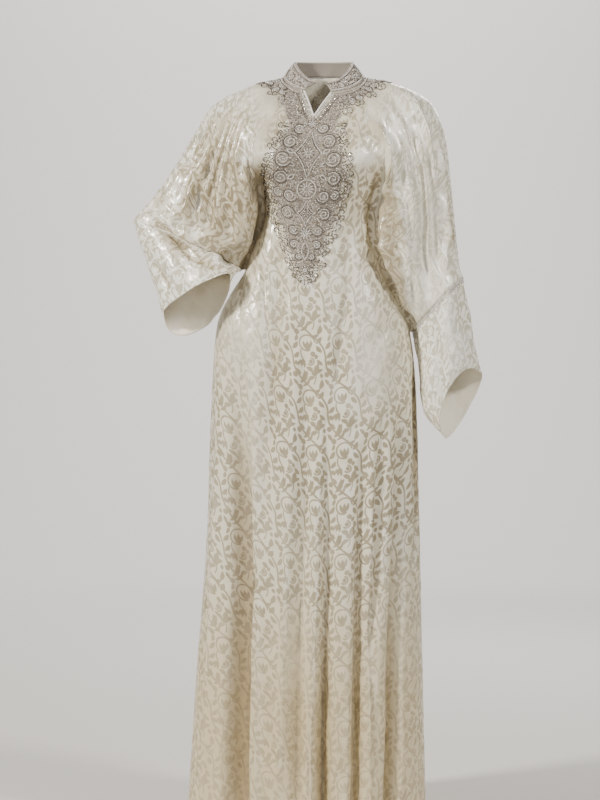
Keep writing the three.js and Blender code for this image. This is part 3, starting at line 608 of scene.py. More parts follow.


# Painted shading by (x, z): painted shade where the cloth is darkened, painted highlight with a
# minus; it is added to the valley shading
paintedShadingSpots = [
    {"x": -206, "z": -230, "wide": 70, "high": 150, "paintedShading": 1.1},
    {"x": -150, "z": -290, "wide": 26, "high": 90, "paintedShading": 0.35},
    {"x": -118, "z": -250, "wide": 26, "high": 60, "paintedShading": 0.3},
    {"x": 62, "z": -262, "wide": 34, "high": 56, "paintedShading": 0.4},
    {"x": -90, "z": -104, "wide": 70, "high": 36, "paintedShading": 0.5},
    {"x": 76, "z": -108, "wide": 70, "high": 40, "paintedShading": 0.52},
    {"x": 130, "z": -340, "wide": 26, "high": 90, "paintedShading": 0.35},
    {"x": -310, "z": -340, "wide": 46, "high": 34, "paintedShading": 0.6},
    {"x": -92, "z": -600, "wide": 16, "high": 120, "paintedShading": 0.3},
    {"x": 182, "z": -720, "wide": 8, "high": 190, "paintedShading": 0.9},
    {"x": -178, "z": -900, "wide": 20, "high": 420, "paintedShading": 0.3},
    {"x": 138, "z": -380, "wide": 16, "high": 70, "paintedShading": 0.55},
    {"x": -128, "z": -164, "wide": 44, "high": 20, "paintedShading": -1.1},
    {"x": 84, "z": -168, "wide": 48, "high": 22, "paintedShading": -0.9},
    {"x": 196, "z": -340, "wide": 46, "high": 170, "paintedShading": -0.5},
    {"x": 262, "z": -540, "wide": 44, "high": 90, "paintedShading": -0.6},
    {"x": 96, "z": -590, "wide": 56, "high": 90, "paintedShading": -0.3},
    {"x": -150, "z": -610, "wide": 40, "high": 120, "paintedShading": -0.4},
    {"x": -40, "z": -1300, "wide": 180, "high": 150, "paintedShading": 0.3},
]


def paintedShading(points):
    total = np.zeros(points.shape[:-1])
    for spot in paintedShadingSpots:
        across = (points[..., 0] - spot["x"]) / spot["wide"]
        down = (points[..., 2] - spot["z"]) / spot["high"]
        total += spot["paintedShading"] * np.exp(-across**2 - down**2)
    return total


def rowPositions():
    rows = list(np.linspace(0, underarmRow, underarmRow * cloth["rowsAbove"] + 1))
    for k in range(underarmRow, hemRow):
        height = bodySections[k - 1]["z"] - bodySections[k]["z"]
        steps = math.ceil(height / cloth["rowsBelow"])
        rows += list(k + np.arange(1, steps + 1) / steps)
    return np.array(rows)


rows = rowPositions()
upperCount = underarmRow * cloth["rowsAbove"] + 1


def arcs(points, axis):
    steps = np.linalg.norm(np.diff(points, axis=axis), axis=-1)
    zero = np.zeros_like(np.take(steps, [0], axis=axis))
    return np.concatenate([zero, np.cumsum(steps, axis=axis)], axis=axis)


def gridNormals(points):
    across = np.gradient(points, axis=1)
    down = np.gradient(points, axis=0)
    normals = np.cross(across, down)
    return normals / np.maximum(np.linalg.norm(normals, axis=-1, keepdims=True), 1e-9)


# How far creases push each point in, faded at both ends of their lines
def creaseDepth(points, side):
    depth = np.zeros(points.shape[:-1])
    place = points[..., [0, 2]]
    for crease in creases[side]:
        line = np.array(crease["line"], float)
        count = len(line) - 1
        nearest = np.full(depth.shape, 1e9)
        run = np.zeros(depth.shape)
        for k in range(count):
            start, step = line[k], line[k + 1] - line[k]
            t = np.clip(((place - start) * step).sum(-1) / (step * step).sum(), 0, 1)
            distance = np.linalg.norm(place - start - t[..., None] * step, axis=-1)
            closer = distance < nearest
            nearest = np.where(closer, distance, nearest)
            run = np.where(closer, (k + t) / count, run)
        fade = np.clip(np.sin(run * np.pi), 0, 1) ** cloth["creaseFade"]
        depth += crease["depth"] * fade * np.exp(-(nearest / crease["reach"]) ** 2)
    return depth


# Soft unevenness of worn cloth: a few long waves that cross
waveLook = {"seed": 4, "count": 18, "shortest": 22, "longest": 80, "across": 1.5, "down": 0.7}
waves = []
waveMaker = random.Random(waveLook["seed"])
for k in range(waveLook["count"]):
    heading = waveMaker.uniform(0, 2 * math.pi)
    length = waveMaker.uniform(waveLook["shortest"], waveLook["longest"])
    across = math.cos(heading) * waveLook["across"] / length
    down = math.sin(heading) * waveLook["down"] / length
    waves.append((across, down, waveMaker.uniform(0, 2 * math.pi), length / waveLook["longest"]))


def unevenness(points):
    total = 0
    for across, down, phase, weight in waves:
        total = total + weight * np.sin(
            2 * np.pi * (across * points[..., 0] + down * points[..., 2]) + phase)
    return total * cloth["crumple"] / 2


# Body of one layer from the right side to the left side
def bodyGrid(layer):
    shares = np.linspace(0, 1, cloth["bodyColumns"][layer] + 1)
    right = bodySheet(layer, "right", shares, rows)[:, ::-1]
    left = bodySheet(layer, "left", shares, rows)
    grid = np.concatenate([right, left[:, 1:]], axis=1)
    turns = np.concatenate([-shares[::-1], shares[1:]])
    if layer == "front":
        grid[..., 1] -= bustFullness(grid) * smooth(rows)[:, None]
    return grid, turns


def foldBody(grid, turns, folds):
    widths = arcs(grid, 1)
    depth = np.zeros(grid.shape[:2])
    heights = grid[:, grid.shape[1] // 2, 2]
    for fold in folds:
        lineX, lineZ = np.array(fold["line"], float).T
        for r, z in enumerate(heights):
            if not lineZ[-1] - cloth["pastEnd"] <= z <= lineZ[0]:
                continue
            x = np.interp(-z, -lineZ, lineX)
            run = np.interp(-z, -lineZ, np.arange(len(lineZ)))
            deep = along(fold["depth"], [run])[0]
            offset = widths[r] - np.interp(x, grid[r, :, 0], widths[r])
            reach = np.where(offset < 0, fold["right"], fold["left"])
            edge = fold.get("edge", cloth["foldEdge"])
            depth[r] += deep * np.exp(-np.abs(offset / reach) ** edge)
    margin = smooth((1 - np.abs(turns)) * cloth["fade"])
    middle = along([section["x"] for section in bodySections], np.maximum(rows - 1, 0))
    inward = np.stack([middle[:, None] - grid[..., 0], -grid[..., 1],
                       np.zeros(grid.shape[:2])], axis=-1)
    inward /= np.maximum(np.linalg.norm(inward, axis=-1, keepdims=True), 1e-9)
    beside = np.exp(-((1 - np.abs(turns)) / shading["besideWide"]["body"]) ** 2)[None, :]
    upper = smooth((rows - shading["from"]) / 1.2) * smooth((shading["to"] - rows) / 0.8)
    # Painted shade from the fold depth and beside the sleeves; ridges give painted highlight
    hollow = depth / shading["fullDepth"]["body"]
    hollow = hollow + shading["beside"]["body"] * beside * upper[:, None]
    depth *= margin
    depth = depth + unevenness(grid) * smooth((1 - np.abs(turns)) * 9) * smooth(rows * 2)[:, None]
    return grid + inward * depth[..., None], hollow


def sleeveGrid(layer, side, bodyColumn):
    positions = np.linspace(0, sleeveSpans, cloth["sleeveColumns"] + 1)
    upper = rows[:upperCount]
    grid = sleeveSheet(layer, side, positions, upper)
    outward = valleyFloor if side == "left" else -valleyFloor
    weld = bodyColumn - grid[:, 0] + (outward, 0, 0)
    weld *= smooth(upper / 0.5)[:, None]
    grid += weld[:, None] * (1 - smooth(positions))[None, :, None]
    if layer == "front":
        ease = smooth(upper)[:, None] * smooth(positions)[None, :]
        grid[..., 1] -= bustFullness(grid) * ease * smooth((underarmRow - upper) * 2)[:, None]
    depth = np.zeros(grid.shape[:2])
    for fold in sleeveFolds[side, layer]:
        run = np.clip((upper - fold["from"]) / (fold["to"] - fold["from"]), 0, 1)
        line = blend(fold["top"], fold["end"], run)[:, None]
        offset = (positions[None, :] - line) / fold["reach"]
        rise = np.sin(np.clip(run, 0, 1) * np.pi) ** cloth["sleeveFoldFade"]
        depth += fold["depth"] * rise[:, None] * np.exp(-np.abs(offset) ** cloth["foldEdge"])
    folded = smooth(positions * 3)[None, :] * smooth((sleeveSpans - positions) * 4)[None, :]
    depth *= folded
    ends = smooth(positions * 2)[None, :] * smooth((sleeveSpans - positions) * 2)[None, :]
    if layer == "front":
        depth += creaseDepth(grid, side) * ends
    depth += unevenness(grid) * cloth["sleeveCrumple"] * ends * smooth(upper * 2)[:, None]
    # Painted shade from the fold depth and beside the valley at the body
    beside = np.exp(-(positions / shading["besideWide"]["sleeve"]) ** 2)[None, :]
    inside = smooth((upper - shading["from"]) / 1.2)[:, None]
    hollow = depth / shading["fullDepth"]["sleeve"] + shading["beside"][side] * beside * inside
    inward = -gridNormals(grid) * (1 if side == "left" else -1)
    if layer == "back":
        inward = -inward
    return grid + inward * depth[..., None], hollow


# Objects from grids: every grid is a list of rows of vertex numbers
def gridFaces(numbers, flip):
    faces = []
    for upper, lower in zip(numbers[:-1], numbers[1:]):
        for c in range(len(upper) - 1):
            face = (upper[c], lower[c], lower[c + 1], upper[c + 1])
            faces.append(face[::-1] if flip else face)
    return faces


def newObject(name, mesh):
    piece = bpy.data.objects.new(name, mesh)
    bpy.context.collection.objects.link(piece)
    return piece


def giveAttribute(mesh, name, values):
    attribute = mesh.attributes.new(name, "FLOAT", "POINT")
    attribute.data.foreach_set("value", np.asarray(values, float).ravel())


def clothObject(name, vertices, faces, pattern, wall, material, inside, looks=None):
    mesh = bpy.data.meshes.new(name)
    mesh.from_pydata([tuple(v) for v in np.asarray(vertices) * mm], [], faces)
    for label, values in (looks or {}).items():
        giveAttribute(mesh, label, values)
    layer = mesh.uv_layers.new(name="pattern")
    corners = np.array([pattern[loop.vertex_index] for loop in mesh.loops]) * mm
    layer.data.foreach_set("uv", corners.ravel())
    mesh.polygons.foreach_set("use_smooth", [True] * len(mesh.polygons))
    mesh.materials.append(material)
    mesh.materials.append(inside)
    piece = newObject(name, mesh)
    thick = piece.modifiers.new("wall", "SOLIDIFY")
    thick.material_offset = 1
    thick.thickness = wall * mm
    thick.offset = -1
    thick.use_even_offset = False
    return piece


def finishedMesh(piece):
    evaluated = piece.evaluated_get(bpy.context.evaluated_depsgraph_get())
    return bpy.data.meshes.new_from_object(evaluated)


def plainMesh(piece):
    mesh = finishedMesh(piece)
    piece.modifiers.clear()
    piece.data = mesh


# Jacquard: one repeat of a climbing vine with tulips, rings, leaves and buds, in millimetres
# (x across, y up); every motif is measured from the nearest repeat of its own middle
repeat = (66, 109)
jacquardMotifs = [
    {"kind": "stem", "x": 3, "y": 22, "swing": 0.9, "thick": 1.9},
    {"kind": "ring", "x": 0, "y": 1, "turn": -36, "radius": 15.5, "thick": 1.6,
     "cut": (0.62, 0.78)},
    {"kind": "tulip", "x": 0.5, "y": -0.5, "turn": 4, "wide": 9.7, "long": 11.0},
    {"kind": "leaf", "x": 1, "y": -12, "turn": 78, "wide": 2.3, "long": 6.3, "bend": 1},
    {"kind": "stroke", "x": -9, "y": -24, "turn": 16, "long": 13, "thick": 1.5, "bend": -4},
    {"kind": "tulip", "x": -13, "y": -42, "turn": 168, "wide": 8.2, "long": 9.5},
    {"kind": "ring", "x": 6, "y": -36, "turn": 150, "radius": 7, "thick": 1.6,
     "cut": (0.87, 0.5)},
    {"kind": "bud", "x": 6.5, "y": -36, "turn": 0, "wide": 4.1, "long": 4.4},
    {"kind": "bud", "x": 11, "y": -21.5, "turn": 50, "wide": 4.9, "long": 5.5},
    {"kind": "bud", "x": 17.5, "y": -27, "turn": -20, "wide": 3.3, "long": 4.2},
    {"kind": "leaf", "x": 17, "y": -49, "turn": -30, "wide": 4.9, "long": 9.5, "bend": 1},
    {"kind": "leaf", "x": 23, "y": -56, "turn": -62, "wide": 3.9, "long": 7.9, "bend": -1},
    {"kind": "leaf", "x": 3, "y": -52, "turn": 52, "wide": 4.3, "long": 8.9, "bend": 1.5},
    {"kind": "leaf", "x": -4, "y": -61, "turn": -15, "wide": 3.5, "long": 6.8, "bend": -1},
    {"kind": "leaf", "x": -14, "y": 43, "turn": -24, "wide": 5.4, "long": 14.7, "bend": 6},
    {"kind": "leaf", "x": -6, "y": 33, "turn": -44, "wide": 3.1, "long": 12.6, "bend": 4},
    {"kind": "leaf", "x": 6, "y": 38, "turn": -64, "wide": 4.1, "long": 9.5, "bend": -2.5},
    {"kind": "leaf", "x": 23, "y": 6, "turn": -40, "wide": 4.3, "long": 9.5, "bend": 1.5},
    {"kind": "leaf", "x": 17, "y": 15, "turn": -70, "wide": 3.1, "long": 7.4, "bend": 1.5},
    {"kind": "leaf", "x": 24, "y": -12, "turn": 38, "wide": 4.3, "long": 8.9, "bend": -1.5},
    {"kind": "leaf", "x": -25, "y": -5, "turn": -36, "wide": 4.3, "long": 9.5, "bend": 1.5},
    {"kind": "leaf", "x": -22, "y": 10, "turn": -20, "wide": 3.3, "long": 7.4, "bend": 1},
    {"kind": "leaf", "x": 25, "y": -38, "turn": 42, "wide": 4.1, "long": 8.4, "bend": -1.5},
    {"kind": "leaf", "x": -23, "y": -24, "turn": -40, "wide": 4.3, "long": 8.9, "bend": 1.5},
    {"kind": "bud", "x": -24, "y": -40, "turn": 10, "wide": 3.9, "long": 4.6},
    {"kind": "tulip", "x": 14, "y": 53, "turn": -16, "wide": 7.6, "long": 9.0},
    {"kind": "stroke", "x": 13, "y": 37, "turn": -12, "long": 10, "thick": 1.2, "bend": 2},
    {"kind": "bud", "x": -20, "y": 22, "turn": 24, "wide": 5.1, "long": 5.9},
    {"kind": "leaf", "x": -28, "y": 30, "turn": 30, "wide": 3.5, "long": 8.4, "bend": 1},
    {"kind": "leaf", "x": 24.5, "y": 27, "turn": -18, "wide": 4.6, "long": 10.5, "bend": 2.5},
    {"kind": "bud", "x": -28, "y": 46, "turn": 16, "wide": 4.9, "long": 5.5},
    {"kind": "leaf", "x": -21, "y": -56, "turn": 44, "wide": 4.1, "long": 8.4, "bend": -1},
    {"kind": "bud", "x": 27, "y": 44, "turn": 0, "wide": 3.5, "long": 4.2},
]


class Jacquard(Finish):
    # Distance in millimetres to the vine pattern, from the pattern map of the cloth.
    def vectorMaths(self, operation, first, second, third=None):
        inputs = {0: first, 1: second}
        if third is not None:
            inputs[2] = third
        return self.add("ShaderNodeVectorMath", {"operation": operation}, inputs)

    def parts(self, vector):
        x = self.add("ShaderNodeSeparateXYZ", None, {0: vector})
        return x, Value(self, x.socket.node.outputs[1])

    def place(self, cloth, motif, wide=1, long=1):
        middle = (motif["x"], motif["y"], 0)
        half = (repeat[0] / 2, repeat[1] / 2, 1)
        centred = self.vectorMaths("SUBTRACT", cloth, middle)
        nearest = self.vectorMaths("WRAP", centred, half, tuple(-h for h in half))
        inputs = {
            "Vector": nearest,
            "Rotation": (0, 0, math.radians(motif["turn"])),
            "Scale": (wide, long, 1),
        }
        return self.add("ShaderNodeMapping", {"vector_type": "TEXTURE"}, inputs)

    def stem(self, cloth, motif):
        x, y = self.parts(cloth)
        climb = (y - motif["y"]) / repeat[1]
        wave = climb * (2 * math.pi)
        swing = motif["swing"]
        path = (climb + wave.maths("SINE") * (swing / (2 * math.pi))) * repeat[0]
        slope = (wave.maths("COSINE") * swing + 1) * (repeat[0] / repeat[1])
        half = repeat[0] / 2
        across = (x - motif["x"] + path).maths("WRAP", half, -half)
        return across.absolute() / (slope * slope + 1).maths("SQRT") - motif["thick"]

    def bud(self, cloth, motif):
        place = self.place(cloth, motif, motif["wide"], motif["long"])
        length = self.add("ShaderNodeVectorMath", {"operation": "LENGTH"}, {0: place}, output=1)
        return (length - 1) * motif["wide"]

    def leaf(self, cloth, motif):
        x, y = self.parts(self.place(cloth, motif, 1, motif["long"]))
        taper = 1 - y * y
        if "bend" in motif:
            x = x - taper * motif["bend"]
        return (x.absolute() - taper * motif["wide"]) * 0.8

    def stroke(self, cloth, motif):
        x, y = self.parts(self.place(cloth, motif, 1, motif["long"]))
        offset = x - (1 - y * y) * motif["bend"]
        edge = (offset.absolute() - motif["thick"]) * 0.85
        return edge.largest((y.absolute() - 1) * motif["long"])

    def ring(self, cloth, motif):
        x, y = self.parts(self.place(cloth, motif))
        radius = (x * x + y * y).maths("SQRT")
        edge = (radius - motif["radius"]).absolute() - motif["thick"]
        return edge.largest(x * motif["cut"][0] - y.absolute() * motif["cut"][1])

    def tulip(self, cloth, motif):
        x, y = self.parts(self.place(cloth, motif))
        across = x / motif["wide"]
        down = y / motif["long"]
        body = ((across * across + down * down).maths("SQRT") - 1) * motif["wide"]
        petal = motif["wide"] * 0.4
        points = x.maths("WRAP", petal, -petal).absolute() * 1.9
        crown = (y - motif["long"] * 0.62 + points) * 0.45
        return body.largest(crown)

    def vine(self, cloth):
        nearest = None
        for motif in jacquardMotifs:
            distance = getattr(self, motif["kind"])(cloth, motif)
            nearest = nearest.smallest(distance) if nearest else distance
        return nearest


satinLook = {
    "ground": (0.80, 0.75, 0.605, 1),
    "motif": (0.33, 0.275, 0.175, 1),
    "litLine": (0.95, 0.93, 0.84, 1),
    # painted shade: ground where the vine shows as lit lines
    "paintedShadeGround": (0.50, 0.455, 0.35, 1),
    "groundRoughness": 0.23,
    "motifRoughness": 0.55,
    "edge": 0.5,
    "paintedSheen": (0.24, -0.92, 0.24),  # painted highlight: cloth that leans this way is painted shining and hides the vine
    "paintedSheenFrom": 0.952,
    "paintedSheenTo": 0.992,
    "paintedSheenHides": 0.25,
    # painted highlight colour of the cloth that leans towards the sheen direction
    "paintedShine": (0.88, 0.85, 0.75, 1),
    "paintedLeanBackShade": (0.50, 0.455, 0.37, 1),  # painted shade: darker tone of cloth that leans back
    "paintedLeanBackShadeFrom": 0.36,
    "paintedLeanBackShadeTo": 0.8,
    "deep": (0.52, 0.45, 0.33, 1),  # painted shade: what a valley or a darker spot multiplies the tone by
    "paintedHighlight": (0.97, 0.965, 0.90, 1),  # painted highlight: tone of the crests of folds and of the lighter spots
    "paintedHighlightShows": 0.55,
    "low": (0.88, 0.80, 0.64, 1),  # what the tone is multiplied by towards the hem
    "beaded": (0.29, 0.25, 0.205, 1),  # painted shade: dark tone of the cloth between beads
    "crumple": 0.0018,
    "crumpleScale": 34,
    "crumpleDetail": 4,
    "crumpleRoughness": 0.55,
    "weave": 0.00003,
    "weaveScale": 1600 / 6.28,
    "specular": 0.9,
    "sheen": 0.08,
    "sheenRoughness": 0.4,
    "wobble": 2.4,  # how far the woven lines stray, in millimetres, and how often
    "wobbleScale": 0.06,
    "patchScale": 9,  # soft patches that break up the painted sheen and the vine
    "patchDetail": 3,
    "patchPaintedSheen": 0.12,
    "patchVine": 0.5,
    "paintedLeanBackShadeShows": 0.6,
    "litShows": 1.6,
    "deepFrom": 0.1,
    "deepTo": 1.1,
    "deepShows": 0.9,
    "paintedHighlightFrom": 0.1,
    "paintedHighlightTo": 0.8,
    "lowFrom": 0.86,  # metres below the neck
    "lowTo": 1.3,
    "beadedRoughness": 0.8,
}
wrongSideLook = dict(satinLook)
wrongSideLook.update({
    "ground": (0.93, 0.87, 0.72, 1),
    "motif": (0.78, 0.71, 0.56, 1),
    "litLine": (0.93, 0.87, 0.72, 1),
    "paintedShadeGround": (0.88, 0.82, 0.67, 1),
    "paintedLeanBackShade": (0.88, 0.82, 0.67, 1),
    "deep": (0.92, 0.88, 0.8, 1),
    "groundRoughness": 0.5,
    "motifRoughness": 0.5,
    "specular": 0.4,
})


def satinFinish(name, look):
    finish = Jacquard(name)
    uv = finish.add("ShaderNodeUVMap", {"uv_map": "pattern"})
    cloth = finish.vectorMaths("MULTIPLY", uv, (1000, -1000, 0))
    wobble = finish.add("ShaderNodeTexNoise", None, {
        "Vector": cloth, "Scale": look["wobbleScale"],
    }, output=1)
    shift = finish.vectorMaths("SUBTRACT", wobble, (0.5, 0.5, 0.5))
    shift = finish.vectorMaths("MULTIPLY", shift, (look["wobble"], look["wobble"], 0))
    cloth = finish.vectorMaths("ADD", cloth, shift)
    vine = 1 - finish.step(finish.vine(cloth), -look["edge"], look["edge"])
    normal = finish.add("ShaderNodeNewGeometry", None, None, output=1)
    # Painted highlight: cloth whose normal leans towards one set direction is painted shining
    lean = {0: normal, 1: Vector(look["paintedSheen"]).normalized()}
    facing = finish.add("ShaderNodeVectorMath", {"operation": "DOT_PRODUCT"}, lean, output=1)
    patch = finish.add("ShaderNodeTexNoise", None, {
        "Vector": uv, "Scale": look["patchScale"], "Detail": look["patchDetail"],
    })
    paintedSheen = finish.step(facing + (patch - 0.5) * look["patchPaintedSheen"], look["paintedSheenFrom"],
                         look["paintedSheenTo"])
    # Vine contrast painted by place: plus a darker vine, minus a lit line on a ground in painted
    # shade
    bold = finish.attribute("bold") + (patch - 0.5) * look["patchVine"]
    dark = bold.largest(0) * (1 - paintedSheen * look["paintedSheenHides"])
    lit = (bold * -1).largest(0)
    # Painted shade: cloth that leans back is painted darker
    paintedLeanBackShade = finish.step(finish.height(normal), look["paintedLeanBackShadeFrom"], look["paintedLeanBackShadeTo"])
    ground = finish.mixColor(lit.smallest(1), look["ground"], look["paintedShadeGround"])
    ground = finish.mixColor(paintedSheen, ground, look["paintedShine"])
    ground = finish.mixColor(paintedLeanBackShade * look["paintedLeanBackShadeShows"], ground, look["paintedLeanBackShade"])
    tone = finish.mixColor((vine * dark).smallest(1), ground, look["motif"])
    tone = finish.mixColor((vine * lit * look["litShows"]).smallest(1), tone, look["litLine"])
    # Painted shade in valleys and darker spots, painted highlight on crests and lighter spots
    deep = finish.step(finish.attribute("hollow"), look["deepFrom"], look["deepTo"])
    deep = deep * look["deepShows"]
    paintedHighlight = finish.step(finish.attribute("hollow") * -1, look["paintedHighlightFrom"], look["paintedHighlightTo"])
    paintedHighlight = paintedHighlight * look["paintedHighlightShows"]
    tone = finish.mixColor(paintedHighlight, tone, look["paintedHighlight"])
    shade = finish.mixColor(deep, (1, 1, 1, 1), look["deep"])
    tone = finish.vectorMaths("MULTIPLY", tone, shade)
    place = finish.position()
    low = finish.step(finish.height(place) * -1, look["lowFrom"], look["lowTo"])
    tone = finish.vectorMaths("MULTIPLY", tone, finish.mixColor(low, (1, 1, 1, 1), look["low"]))
    # Painted shade on the cloth between the filling beads
    finish.feed("Base Color", finish.mixColor(finish.attribute("beaded"), tone, look["beaded"]))
    roughness = vine * (look["motifRoughness"] - look["groundRoughness"])
    roughness = roughness + look["groundRoughness"]
    beaded = finish.attribute("beaded") * look["beadedRoughness"]
    finish.feed("Roughness", roughness.largest(beaded))
    crumple = finish.add("ShaderNodeTexNoise", None, {
        "Vector": place, "Scale": look["crumpleScale"], "Detail": look["crumpleDetail"],
        "Roughness": look["crumpleRoughness"],
    })
    weave = finish.add("ShaderNodeTexWave", {"bands_direction": "DIAGONAL"}, {
        "Vector": uv, "Scale": look["weaveScale"],
    })
    height = crumple * look["crumple"] + weave * look["weave"]
    bump = finish.add("ShaderNodeBump", None, {"Height": height, "Strength": 1, "Distance": 1})
    finish.feed("Normal", bump)
    finish.feed("Sheen Weight", look["sheen"])
    finish.feed("Sheen Roughness", look["sheenRoughness"])
    finish.feed("Specular IOR Level", look["specular"])
    return finish.material


satin = satinFinish("ivorySatin", satinLook)
wrongSide = satinFinish("satinWrongSide", wrongSideLook)


def plainSilk(name, color, roughness):
    finish = Finish(name)
    place = finish.position()
    grain = finish.add("ShaderNodeTexNoise", None, {"Vector": place, "Scale": 260, "Detail": 3})
    dark = tuple(c * 0.86 for c in color[:3]) + (1,)
    finish.feed("Base Color", finish.mixColor(grain, dark, color))
    finish.feed("Roughness", grain * 0.1 + roughness)
    bump = finish.add("ShaderNodeBump", None, {"Height": grain * 0.0002, "Distance": 1.0})
    finish.feed("Normal", bump)
    finish.feed("Sheen Weight", 0.1)
    return finish.material


bandSilk = plainSilk("bandSilk", (0.42, 0.37, 0.32, 1), 0.5)
pipingSilk = plainSilk("pipingSilk", (0.93, 0.92, 0.89, 1), 0.35)

panels = {}
for layer in ("front", "back"):
    body, turns = bodyGrid(layer)
    folded, hollow = foldBody(body, turns, frontFolds if layer == "front" else backFolds)
    panels[layer] = {"body": folded, "hollow": hollow, "sleeves": {}, "sleeveHollows": {}}
    for side, column in (("right", folded[:upperCount, 0]), ("left", folded[:upperCount, -1])):
        sleeve, hollow = sleeveGrid(layer, side, column)
        panels[layer]["sleeves"][side] = sleeve
        panels[layer]["sleeveHollows"][side] = hollow
print("cloth shaped")

# Seams: both layers take the front's points
seamed = panels["back"]
seamed["body"][upperCount - 1:, 0] = panels["front"]["body"][upperCount - 1:, 0]
seamed["body"][upperCount - 1:, -1] = panels["front"]["body"][upperCount - 1:, -1]


def panelObject(layer):
    body = panels[layer]["body"]
    right = panels[layer]["sleeves"]["right"][:, ::-1]
    left = panels[layer]["sleeves"]["left"]
    upper = np.concatenate([right, body[:upperCount], left], axis=1)
    count = right.shape[1]
    centre = count + body.shape[1] // 2
    widths = arcs(upper, 1)
    widths -= widths[:, [centre]]
    heights = arcs(upper, 0) - upper[:1, :, 2]
    lowerWidths = arcs(body, 1)
    lowerWidths -= lowerWidths[:, [body.shape[1] // 2]]
    lowerHeights = arcs(body, 0) - body[:1, :, 2]
    vertices = list(upper.reshape(-1, 3)) + list(body[upperCount:].reshape(-1, 3))
    pattern = list(np.stack([widths, heights], -1).reshape(-1, 2))
    pattern += list(np.stack([lowerWidths, lowerHeights], -1)[upperCount:].reshape(-1, 2))
    numbers = np.arange(upper.shape[0] * upper.shape[1]).reshape(upper.shape[:2])
    start = numbers.size
    lower = start + np.arange((body.shape[0] - upperCount) * body.shape[1])
    lower = lower.reshape(-1, body.shape[1])
    joined = np.concatenate([numbers[-1:, count:count + body.shape[1]], lower])
    flip = layer == "back"
    faces = gridFaces(numbers.tolist(), flip) + gridFaces(joined.tolist(), flip)
    sleeveHollows = panels[layer]["sleeveHollows"]
    hollow = panels[layer]["hollow"]
    upperHollow = np.concatenate([sleeveHollows["right"][:, ::-1], hollow[:upperCount],
                                  sleeveHollows["left"]], axis=1)
    hollows = np.concatenate([upperHollow.ravel(), hollow[upperCount:].ravel()])
    away = smooth(np.linspace(0, sleeveSpans, cloth["sleeveColumns"] + 1) / 0.7)
    across = np.concatenate([away[::-1], np.zeros(body.shape[1]), away])
    sleeve = across[None, :] * smooth(rows[:upperCount] / 2)[:, None]
    # Vine contrast painted by place, partly the weave's own contrast and partly painted light
    bold = np.concatenate([boldness(upper, sleeve).ravel(),
                           boldness(body[upperCount:]).ravel()])
    # Painted shading spots: painted shade, and painted highlight with a minus
    hollows += np.concatenate([paintedShading(upper).ravel(), paintedShading(body[upperCount:]).ravel()])
    looks = {"hollow": np.clip(hollows, *shading["limits"]), "bold": bold}
    return clothObject(layer + "Panel", vertices, faces, pattern, cloth["wall"],
                       satin, wrongSide, looks)


pieces = {}
for layer in ("front", "back"):
    pieces[layer] = panelObject(layer)


def cuffGrid(side):
    turns = np.linspace(0, sleeveSpans, cloth["sleeveColumns"] + 1) / sleeveSpans
    cuffRows = np.linspace(0, len(cuffSections[side]) - 1, cloth["cuffRows"] + 1)
    grids = {}
    for layer in ("front", "back"):
        lines = [cuffLine(section, layer, turns) for section in cuffSections[side]]
        grids[layer] = along(np.array(lines), cuffRows)
        step = panels[layer]["sleeves"][side][-1] - grids[layer][0]
        grids[layer] += step[None] * (1 - smooth(cuffRows / 0.7))[:, None, None]
    ring = np.concatenate([grids["front"], grids["back"][:, ::-1][:, 1:]], axis=1)
    inward = gridNormals(ring)
    outward = ring - ring.mean(axis=1, keepdims=True)
    inward *= -np.sign((inward * outward).sum(axis=-1))[..., None]
    depth = creaseDepth(ring, side)
    depth[:, len(turns):] *= cloth["hiddenCuffCreases"]
    ease = smooth(cuffRows / 0.3)[:, None]
    ends = smooth(np.sin(np.linspace(0, 2 * np.pi, ring.shape[1])) ** 2 * 6)[None, :]
    depth = (depth * ends + unevenness(ring) * cloth["cuffCrumple"]) * ease
    depth[:, -1] = depth[:, 0]
    return ring + inward * depth[..., None], depth / shading["fullDepth"]["cuff"]


cuffGrids = {}
for side in ("right", "left"):
    ring, hollow = cuffGrid(side)
    ring[:, -1] = ring[:, 0]
    cuffGrids[side] = ring
    widths = arcs(ring, 1)
    heights = arcs(ring, 0)
    columns = ring.shape[1]
    numbers = np.arange(ring.shape[0] * columns).reshape(-1, columns)
    faces = gridFaces(numbers.tolist(), side == "right")
    pattern = np.stack([widths, heights], -1).reshape(-1, 2)
    # Painted shade from the crease depth and the painted shading spots
    looks = {
        "hollow": np.clip(hollow + paintedShading(ring), *shading["limits"]),
        "bold": np.full(hollow.shape, vineShows["cuffs"]),
    }
    pieces[side + "Cuff"] = clothObject(side + "Cuff", ring.reshape(-1, 3), faces, pattern,
                                        cloth["wall"], satin, wrongSide, looks)
print("cloth sewn")

for piece in pieces.values():
    plainMesh(piece)

# Beadwork: an own plain design of rosettes, lozenges, scrolls and sprigs, the same on both
# sides of a line down the middle. Places are given in the flat, in millimetres.
beadKinds = {
    "silver": {"size": 2.4, "flatness": 0.8, "round": True, "color": (0.66, 0.61, 0.55, 1),
               "metal": 0.5, "roughness": 0.24},
    "steel": {"size": 2.1, "flatness": 0.8, "round": True, "color": (0.17, 0.14, 0.115, 1),
              "metal": 0.6, "roughness": 0.26},
    "pearl": {"size": 2.5, "flatness": 0.85, "round": True, "color": (0.92, 0.90, 0.87, 1),
              "metal": 0.05, "roughness": 0.18},
    "smoke": {"size": 3.0, "flatness": 0.8, "round": True, "color": (0.17, 0.14, 0.115, 1),
              "metal": 0.45, "roughness": 0.24},
    "crystal": {"size": 3.6, "flatness": 0.6, "round": False, "color": (0.95, 0.95, 0.97, 1),
                "metal": 0.6, "roughness": 0.08},
    "gold": {"size": 2.8, "flatness": 0.7, "round": False, "color": (0.78, 0.56, 0.30, 1),
             "metal": 0.8, "roughness": 0.2},
}
